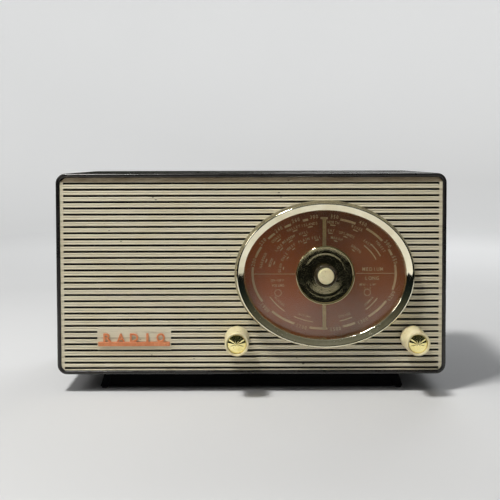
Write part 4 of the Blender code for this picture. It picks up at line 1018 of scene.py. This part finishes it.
def arc_text(shape, text, x, z, height, pitch, outward=True):
    """Letters one by one along the ellipse through (x, z), in millimetres from the dial's middle."""
    size = math.hypot(x, z / ASPECT)
    middle = math.atan2(z / ASPECT, x)
    direction = -1 if outward else 1
    for number, letter in enumerate(text):
        along = (number - (len(text) - 1) / 2) * pitch
        angle = middle
        for _ in range(3):
            speed = math.hypot(size * math.sin(angle), size * ASPECT * math.cos(angle))
            angle = middle + direction * along / speed
        px, pz = size * math.cos(angle), size * ASPECT * math.sin(angle)
        tx, tz = -math.sin(angle) * direction, ASPECT * math.cos(angle) * direction
        turn = math.atan2(tz, tx)
        if letter != " ":
            put_text(
                shape, letter, DIAL_X + px * MM, DIAL_Z + pz * MM, height * MM, PRINT_Y, PRINT_THICK, turn,
                squeeze=0.82, bolder=0.012,
            )


def arc_band(shape, semi_x, semi_z, width, start, end, steps=24):
    """A strip along an ellipse between two angles in degrees, in millimetres from the dial's middle."""
    near_y, far_y = PRINT_Y - PRINT_THICK, PRINT_Y
    rows = []
    for i in range(steps + 1):
        angle = math.radians(start + (end - start) * i / steps)
        row = []
        for y in (near_y, far_y):
            for side in (-0.5, 0.5):
                x = (semi_x + side * width) * math.cos(angle)
                z = (semi_z + side * width) * math.sin(angle)
                row.append(shape.verts.new((DIAL_X + x * MM, y, DIAL_Z + z * MM)))
        rows.append(row)
    for a, b in zip(rows, rows[1:]):
        for i, j in ((0, 1), (1, 3), (3, 2), (2, 0)):
            shape.faces.new((a[i], a[j], b[j], b[i]))
    for row in (rows[0], rows[-1]):
        shape.faces.new((row[0], row[1], row[3], row[2]))


def straight(shape, x0, z0, x1, z1, width):
    """A printed rule between two points, in millimetres from the dial's middle."""
    length = math.hypot(x1 - x0, z1 - z0)
    nx, nz = -(z1 - z0) / length * width / 2, (x1 - x0) / length * width / 2
    points = [(x0 + nx, z0 + nz), (x1 + nx, z1 + nz), (x1 - nx, z1 - nz), (x0 - nx, z0 - nz)]
    outline = [(DIAL_X + x * MM, DIAL_Z + z * MM) for x, z in points]
    prism(outline, PRINT_Y - PRINT_THICK, PRINT_Y, shape)


def angle_on(x, z):
    """Angle in degrees, as arc_band counts it, of the point (x, z) on an ellipse of the ring's shape."""
    return math.degrees(math.atan2(z / ASPECT, x))


def make_print():
    numbers = bmesh.new()
    upper = (("200", -62, 10), ("220", -54, 28), ("240", -40, 39), ("260", -25, 47), ("300", -9, 50))
    upper += (("350", 9, 50), ("450", 34, 44), ("500", 56, 26), ("550", 62, 12))
    lower = (("1200", 59, -20), ("1300", 34, -42), ("1500", 10, -49), ("1700", -20, -47), ("1900", -52, -30))
    ring = bmesh.new()
    stops = []
    for text, x, z in upper:
        arc_text(numbers, text, x, z, 3.3, 2.6)
        stops.append((angle_on(x, z), len(text)))
    for text, x, z in lower:
        arc_text(numbers, text, x, z, 3.3, 2.6, outward=False)
        stops.append((angle_on(x, z), len(text)))
    finish_mesh("scale_numbers", numbers, PRINT, "cabinet", sharp=0)
    stops = sorted((a % 360, n) for a, n in stops)
    half_letter, gap, mm_per_degree = 1.25, 1.2, 0.98
    for (a, n), (b, m) in zip(stops, stops[1:] + [(stops[0][0] + 360, stops[0][1])]):
        start = a + (n * half_letter + gap) / mm_per_degree
        end = b - (m * half_letter + gap) / mm_per_degree
        if end - start > 2:
            arc_band(ring, RING_X, RING_Z, 1.9, start, end)
    finish_mesh("scale_ring", ring, PRINT, "cabinet", sharp=0)

    names = bmesh.new()
    rules = bmesh.new()
    outer = (("HARBOUR", -54, 12), ("COAST", -42, 31), ("VALLEY", -27, 40), ("ISLANDS", -13, 43.5))
    outer += (("NORTH", 8, 45), ("RIVER", 29, 40), ("FOREST", 49.5, 24))
    middle = (("MOOR", -47, 10), ("LAKE", -40, 23), ("MEADOW", -31.5, 30.5), ("HILL", -18, 36))
    middle += (("BAY", 6, 38), ("UPLANDS", 20, 34.5), ("EAST", 38, 27))
    inner = (("GLEN", -39, 5), ("DALE", -35, 15), ("WEST", -29, 23.5), ("PLAIN", -18, 29.5))
    inner += (("FELL", -7, 32), ("MARSH", 11, 31), ("SOUTH", 28, 22))
    for group in (outer, middle, inner):
        for text, x, z in group:
            arc_text(names, text, x, z, 2.4, 2.15)
            if text in ("FOREST", "EAST"):
                continue
            at = angle_on(x, z)
            size = math.hypot(x, z / ASPECT) - 3.3
            arc_band(rules, size, size * ASPECT, 0.9, at - 2.4, at + 2.4, 4)
    for inwards, start, end in ((9.0, 20, 44), (4.2, 22, 40)):
        arc_band(rules, 57.5 - inwards, 44.5 - inwards, 1.1, start, end, 12)
    for text, (x0, z0), (x1, z1) in (
        ("WINTER", (-49, -20), (-36, -33)),
        ("AUTUMN", (-27, -37), (-10, -42)),
        ("SPRING", (14, -42), (25, -38)),
        ("SUMMER", (37, -31), (47, -21)),
    ):
        a, b = angle_on(x0, z0), angle_on(x1, z1)
        arc_band(rules, 54, 43.5, 0.9, a, b, 12)
        mid = math.radians((a + b) / 2)
        arc_text(names, text, 50.3 * math.cos(mid), 39.6 * math.sin(mid), 1.9, 1.9, outward=False)
    finish_mesh("scale_names", names, PRINT, "cabinet", sharp=0)
    straight(rules, -62, -0.4, -25.5, -0.4, 0.45)
    straight(rules, 28, 0, 64, 0, 0.45)
    for x, z, radius in ((38, -16.8, 2.9), (-40.5, -17.1, 2.9)):
        for i in range(24):
            a, b = math.radians(i * 15), math.radians(i * 15 + 15)
            straight(
                rules, x + radius * math.cos(a), z + radius * math.sin(a),
                x + radius * math.cos(b), z + radius * math.sin(b), 0.5,
            )
    straight(rules, 36.2, -13.2, 35.6, -12.2, 0.5)
    straight(rules, 40.2, -13.4, 41.2, -12.4, 0.5)
    finish_mesh("scale_rules", rules, PRINT, "cabinet", sharp=0)
    labels = bmesh.new()
    for text, x, z, width, height in (
        ("MEDIUM", 42.6, 3.9, 18.6, 3.2), ("LONG", 42.0, -4.1, 13.0, 3.2),
        ("MW-LW", 38.0, -9.8, 14.8, 2.3), ("ON-OFF", -41.0, -5.9, 12.0, 2.2),
        ("VOLUME", -40.5, -10.4, 11.5, 2.2),
    ):
        cell = width / len(text)
        for number, letter in enumerate(text):
            place = x + (number - (len(text) - 1) / 2) * cell
            put_text(
                labels, letter, DIAL_X + place * MM, DIAL_Z + z * MM, height * MM, PRINT_Y, PRINT_THICK,
                squeeze=0.85, bolder=0.012,
            )
    finish_mesh("scale_labels", labels, PRINT, "cabinet", sharp=0)


def make_pointer():
    low, high = POINTER
    half_w = (3.2 * MM) / 2
    reach = (high.z - low.z) / 2
    hub = 6.0 * MM
    outline = []
    start = math.acos(half_w / hub)
    for end, sign in ((1, 1), (-1, -1)):
        outline.append((DIAL_X + sign * half_w, DIAL_Z + end * (reach - 0.4 * MM)))
        outline.append((DIAL_X + sign * (half_w - 0.4 * MM), DIAL_Z + end * reach))
        outline.append((DIAL_X - sign * (half_w - 0.4 * MM), DIAL_Z + end * reach))
        outline.append((DIAL_X - sign * half_w, DIAL_Z + end * (reach - 0.4 * MM)))
        first = math.pi - start if end > 0 else -start
        last = math.pi + start if end > 0 else start
        for i in range(13):
            angle = first + (last - first) * i / 12
            outline.append((DIAL_X + hub * math.cos(angle), DIAL_Z + hub * math.sin(angle)))
    obj = finish_mesh(
        "tuning_pointer", prism(outline, low.y, high.y), GOLD_PAINT, "tuning",
        ("pointer",), sharp=40,
    )
    cut_by(obj, prism(ellipse(3.3 * MM, 3.3 * MM, 32, DIAL_X, DIAL_Z), low.y - MM, high.y + MM))
    bake_modifiers(obj)
    obj.data.set_sharp_from_angle(angle=math.radians(40))
    soften(obj, 0.15 * MM, 2, 50)


def make_tuning():
    dish = [
        (3.3, -0.8), (6.5, -0.8), (6.5, -2.2), (23.5, -3.2), (25.2, -4.4), (25.45, -5.0), (25.5, -6.0),
        (25.42, -6.35), (25.2, -6.56), (24.95, -6.6), (24.85, -6.5), (24.8, -6.2), (24.75, -5.0),
        (24.7, -3.9), (24.5, -3.66), (24.0, -3.58), (19.4, -3.57), (18.8, -3.55), (18.0, -3.49),
        (17.2, -3.45), (16.6, -3.44), (14.0, -3.43), (10.3, -3.43), (3.3, -3.43),
    ]
    shades = (srgb(196, 184, 142), srgb(220, 208, 170))
    gilt = gilt_material("spun_gilt_dish", DIAL_X, DIAL_Z, 0, shades, (0.05, 0.12))
    finish_mesh(
        "tuning_disc", turned(dish, DIAL_X, DIAL_Z, 128), gilt, "tuning", ("tuning_dish",), sharp=50
    )
    boss = [
        (3.3, -3.53), (10.0, -3.53), (10.0, -9.3), (9.92, -9.75), (9.7, -10.05), (9.3, -10.2),
        (8.6, -10.18), (7.9, -10.0), (7.5, -9.85), (7.2, -9.55), (7.15, -9.0), (7.15, -6.2), (3.3, -6.2),
    ]
    finish_mesh(
        "tuning_hub", turned(boss, DIAL_X, DIAL_Z, 96), BOSS_CLEAR, "tuning",
        ("tuning_boss",), sharp=50,
    )
    cap = [
        (0, -6.5), (6.85, -6.5), (6.85, -12.3), (6.75, -12.85), (6.45, -13.2), (5.95, -13.38),
        (5.2, -13.46), (4.6, -13.44), (4.3, -13.36), (4.0, -13.42), (3.0, -13.54), (1.5, -13.59),
        (0, -13.6),
    ]
    finish_mesh(
        "tuning_button", turned(cap, DIAL_X, DIAL_Z, 96, closed=False), KNOB, "tuning",
        ("tuning_cap",), sharp=50,
    )


# ---------------------------------------------------------------- control knobs


def make_knob(name):
    low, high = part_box(f"{name}_knob")
    x, z = (low.x + high.x) / 2, (low.z + high.z) / 2
    knob = [
        (0, -19.5), (3.3, -19.5), (3.3, -1.0), (10.2, -1.0), (10.6, -1.15), (10.75, -1.6), (10.72, -3.0),
        (10.62, -8.0), (10.50, -13.0), (10.36, -18.5), (10.24, -23.2), (10.18, -24.1), (9.98, -24.62),
        (9.62, -24.92), (9.2, -25.0), (8.8, -24.94), (8.5, -24.72), (8.33, -24.4), (8.3, -24.0),
        (8.3, -22.0), (0, -22.0),
    ]
    finish_mesh(
        f"{name}_knob_body", turned(knob, x, z, 96, closed=False), KNOB, name,
        (f"{name}_knob",), sharp=50,
    )
    gilt = gilt_material(
        f"{name}_spun_gilt", x, z, 11, (srgb(238, 222, 146), srgb(252, 242, 184)), (0.07, 0.18)
    )
    insert = [
        (0, -22.3), (8.0, -22.3), (8.0, -23.05), (7.85, -23.2), (7.6, -23.28), (6.0, -23.65),
        (4.0, -24.08), (2.0, -24.5), (0.5, -24.76), (0, -24.8),
    ]
    finish_mesh(
        f"{name}_knob_cone", turned(insert, x, z, 72, closed=False), gilt, name,
        (f"{name}_insert",), sharp=50,
    )


# ---------------------------------------------------------------- finishes of the CAD nodes that stay


def dress_frame():
    steel = metal_material(
        "plated_steel", (0.30, 0.30, 0.29), (0.46, 0.46, 0.44), 0.28, 0.46, rust=(0.16, 0.08, 0.04)
    )
    chassis = metal_material(
        "passivated_chassis", (0.34, 0.34, 0.31), (0.52, 0.51, 0.46), 0.32, 0.5, (9, 1, 1), (0.22, 0.14, 0.07)
    )
    aluminium = metal_material("dull_aluminium", (0.50, 0.50, 0.49), (0.66, 0.66, 0.65), 0.28, 0.42)
    iron = metal_material(
        "stacked_iron", (0.06, 0.06, 0.06), (0.16, 0.15, 0.14), 0.5, 0.7, (1, 12, 1), (0.12, 0.06, 0.03)
    )
    board = board_material("rear_hardboard", (0.060, 0.030, 0.013), (0.150, 0.082, 0.040))
    baffle = board_material("baffle_board", (0.10, 0.07, 0.035), (0.24, 0.17, 0.09))
    brown = plain_material("brown_moulding", (0.035, 0.014, 0.006), (0.085, 0.036, 0.016), (0.22, 0.4), 120)
    ferrite = plain_material("wound_ferrite", (0.020, 0.019, 0.020), (0.075, 0.055, 0.040), (0.4, 0.65), 500)
    paper = plain_material(
        "cone_paper", (0.022, 0.019, 0.016), (0.060, 0.052, 0.044), (0.85, 1.0), 700, 0.0001
    )
    glass = glass_material()
    finishes = {
        "speaker_cloth": CLOTH,
        "speaker_baffle": baffle,
        "speaker_frame": steel,
        "speaker_cone": paper,
        "speaker_magnet": iron,
        "chassis": chassis,
        "gang_frame": aluminium,
        "gang_rotor": aluminium,
        "output_transformer": iron,
        "smoothing_can": aluminium,
        "dial_lamp": glass,
        "ferrite_rod": ferrite,
        "aerial_bracket": steel,
        "rear_cover": board,
        "mains_grommet": RUBBER,
        "socket_strip": brown,
        "tuning_spindle": steel,
    }
    for number in range(1, 5):
        finishes[f"speaker_bolt_{number}"] = steel
        finishes[f"cover_screw_{number}"] = steel
        finishes[f"valve_{number}"] = glass
        finishes[f"valve_holder_{number}"] = brown
    for number in (1, 2):
        finishes[f"if_can_{number}"] = aluminium
        finishes[f"chassis_bolt_{number}"] = steel
    for name in ("volume", "wave"):
        finishes[f"{name}_spindle"] = steel
        finishes[f"{name}_control"] = brown
    for node, material in finishes.items():
        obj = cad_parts[node]
        obj.data.materials.clear()
        obj.data.materials.append(material)


# ---------------------------------------------------------------- stage, light and camera


FLOOR_RADIUS = 1.5
WALL_CURVE = 1.0
SIDES = 96


def make_stage():
    """A flat round floor that curves up into a wall, and a card that only reflections see."""
    pale = floor_material("pale_floor", FLOOR_SHADE, SWEEP_GLOW)
    floor = [(0.3 * i, 0.0) for i in range(1, 6)]
    wall = [(FLOOR_RADIUS, 0.0)]
    for step in range(1, 13):
        angle = math.pi / 2 * step / 12
        wall.append((FLOOR_RADIUS + WALL_CURVE * math.sin(angle), WALL_CURVE * (1 - math.cos(angle))))
    wall += [(FLOOR_RADIUS + WALL_CURVE, height) for height in (2.2, 3.4)]
    for name, profile in (("studio_floor", floor), ("studio_wall", wall)):
        shape = bmesh.new()
        loops = []
        for radius, height in profile:
            ring = ellipse(radius, radius, SIDES, 0, 0)
            loops.append([shape.verts.new((px, py, height)) for px, py in ring])
        for near, far in zip(loops, loops[1:]):
            for i in range(SIDES):
                j = (i + 1) % SIDES
                shape.faces.new((near[i], far[i], far[j], near[j]))
        if name == "studio_floor":
            shape.faces.new(loops[0])
        part = add_mesh(name, shape)
        part.data.shade_smooth()
        part.data.materials.append(pale)
        part.visible_glossy = False
        part.visible_shadow = False
        part.visible_diffuse = name == "studio_floor"

    card = bmesh.new()
    corners = ((-0.50, -0.50), (0.52, -0.50), (0.52, 0.60), (-0.50, 0.60))
    card.faces.new([card.verts.new((x, y, 0.0004)) for x, y in corners])
    table = add_mesh("reflected_table", card)
    table.data.materials.append(floor_material("reflected_white", CARD_SHADE))
    table.visible_camera = False
    table.visible_diffuse = False
    table.visible_shadow = False
    table.visible_transmission = False


def area_light(name, place, target, size, power, colour):
    data = bpy.data.lights.new(name, "AREA")
    data.shape = "RECTANGLE"
    data.size, data.size_y = size
    data.energy = power
    data.color = colour
    lamp = add_object(name, data)
    lamp.location = place
    lamp.rotation_mode = "QUATERNION"
    lamp.rotation_quaternion = (Vector(target) - Vector(place)).to_track_quat("-Z", "Y")
    lamp.visible_camera = False


def make_light():
    """Soft surroundings by height, darker for reflections, and three lamps."""
    world = bpy.data.worlds.new("studio")
    bpy.context.scene.world = world
    world.use_nodes = True
    tree = world.node_tree
    tree.nodes.clear()
    out = tree.nodes.new("ShaderNodeOutputWorld")
    soft = tree.nodes.new("ShaderNodeBackground")
    room = tree.nodes.new("ShaderNodeBackground")
    coords = tree.nodes.new("ShaderNodeTexCoord")
    parts = tree.nodes.new("ShaderNodeSeparateXYZ")
    tree.links.new(coords.outputs["Generated"], parts.inputs[0])
    height = tree.nodes.new("ShaderNodeMath")
    height.operation = "MULTIPLY_ADD"
    height.inputs[1].default_value = 0.5
    height.inputs[2].default_value = 0.5
    tree.links.new(parts.outputs[2], height.inputs[0])

    def sky(stops, target):
        ramp = tree.nodes.new("ShaderNodeValToRGB")
        while len(ramp.color_ramp.elements) < len(stops):
            ramp.color_ramp.elements.new(0.5)
        for element, (position, colour) in zip(ramp.color_ramp.elements, stops):
            element.position = position
            element.color = (*colour, 1)
        tree.links.new(height.outputs[0], ramp.inputs["Fac"])
        tree.links.new(ramp.outputs["Color"], target)

    sky(
        (
            (0.00, (0.08, 0.08, 0.08)),
            (0.50, (0.10, 0.10, 0.10)),
            (1.00, (0.16, 0.16, 0.155)),
        ),
        soft.inputs["Color"],
    )
    sky(
        (
            (0.00, (0.004, 0.004, 0.004)),
            (0.47, (0.006, 0.007, 0.006)),
            (0.52, (0.008, 0.012, 0.011)),
            (0.60, (0.024, 0.028, 0.020)),
            (0.72, (0.085, 0.082, 0.060)),
            (0.86, (0.17, 0.17, 0.14)),
            (1.00, (0.30, 0.30, 0.28)),
        ),
        room.inputs["Color"],
    )

    path = tree.nodes.new("ShaderNodeLightPath")
    mix = tree.nodes.new("ShaderNodeMixShader")
    tree.links.new(path.outputs["Is Glossy Ray"], mix.inputs[0])
    tree.links.new(soft.outputs[0], mix.inputs[1])
    tree.links.new(room.outputs[0], mix.inputs[2])
    tree.links.new(mix.outputs[0], out.inputs["Surface"])

    area_light("key", (-0.52, -0.47, 1.50), (0.0, -0.06, 0.1), (0.30, 0.22), 20.5, (1.0, 0.985, 0.95))
    area_light("left_soft", (-0.62, -0.34, 0.52), (0.0, -0.06, 0.1), (0.25, 0.25), 1.1, (1.0, 0.98, 0.95))
    area_light("rear_soft", (0.45, 1.10, 1.05), (0.0, 0.09, 0.1), (0.8, 0.5), 7.5, (0.98, 0.99, 1.0))


def make_camera():
    data = bpy.data.cameras.new("camera")
    data.sensor_width = 36.0
    data.lens = 54.57
    data.shift_x, data.shift_y = 0.0098, -0.128
    data.dof.use_dof = False
    data.clip_start, data.clip_end = 0.01, 20.0
    camera = add_object("camera", data)
    camera.location = (-0.0052, -0.72, 0.2039)
    camera.rotation_euler = (math.radians(90 - 2.0), math.radians(0.138), 0)
    bpy.context.scene.camera = camera


make_camera()
make_panel()
make_case()
make_feet()
make_skirt()
make_badge()
make_bezel()
make_window()
make_plate()
make_print()
make_pointer()
make_tuning()
make_knob("volume")
make_knob("wave")
dress_frame()
make_stage()
make_light()

scene = bpy.context.scene
scene.view_settings.view_transform = "Standard"
scene.view_settings.look = "None"
bpy.context.view_layer.update()
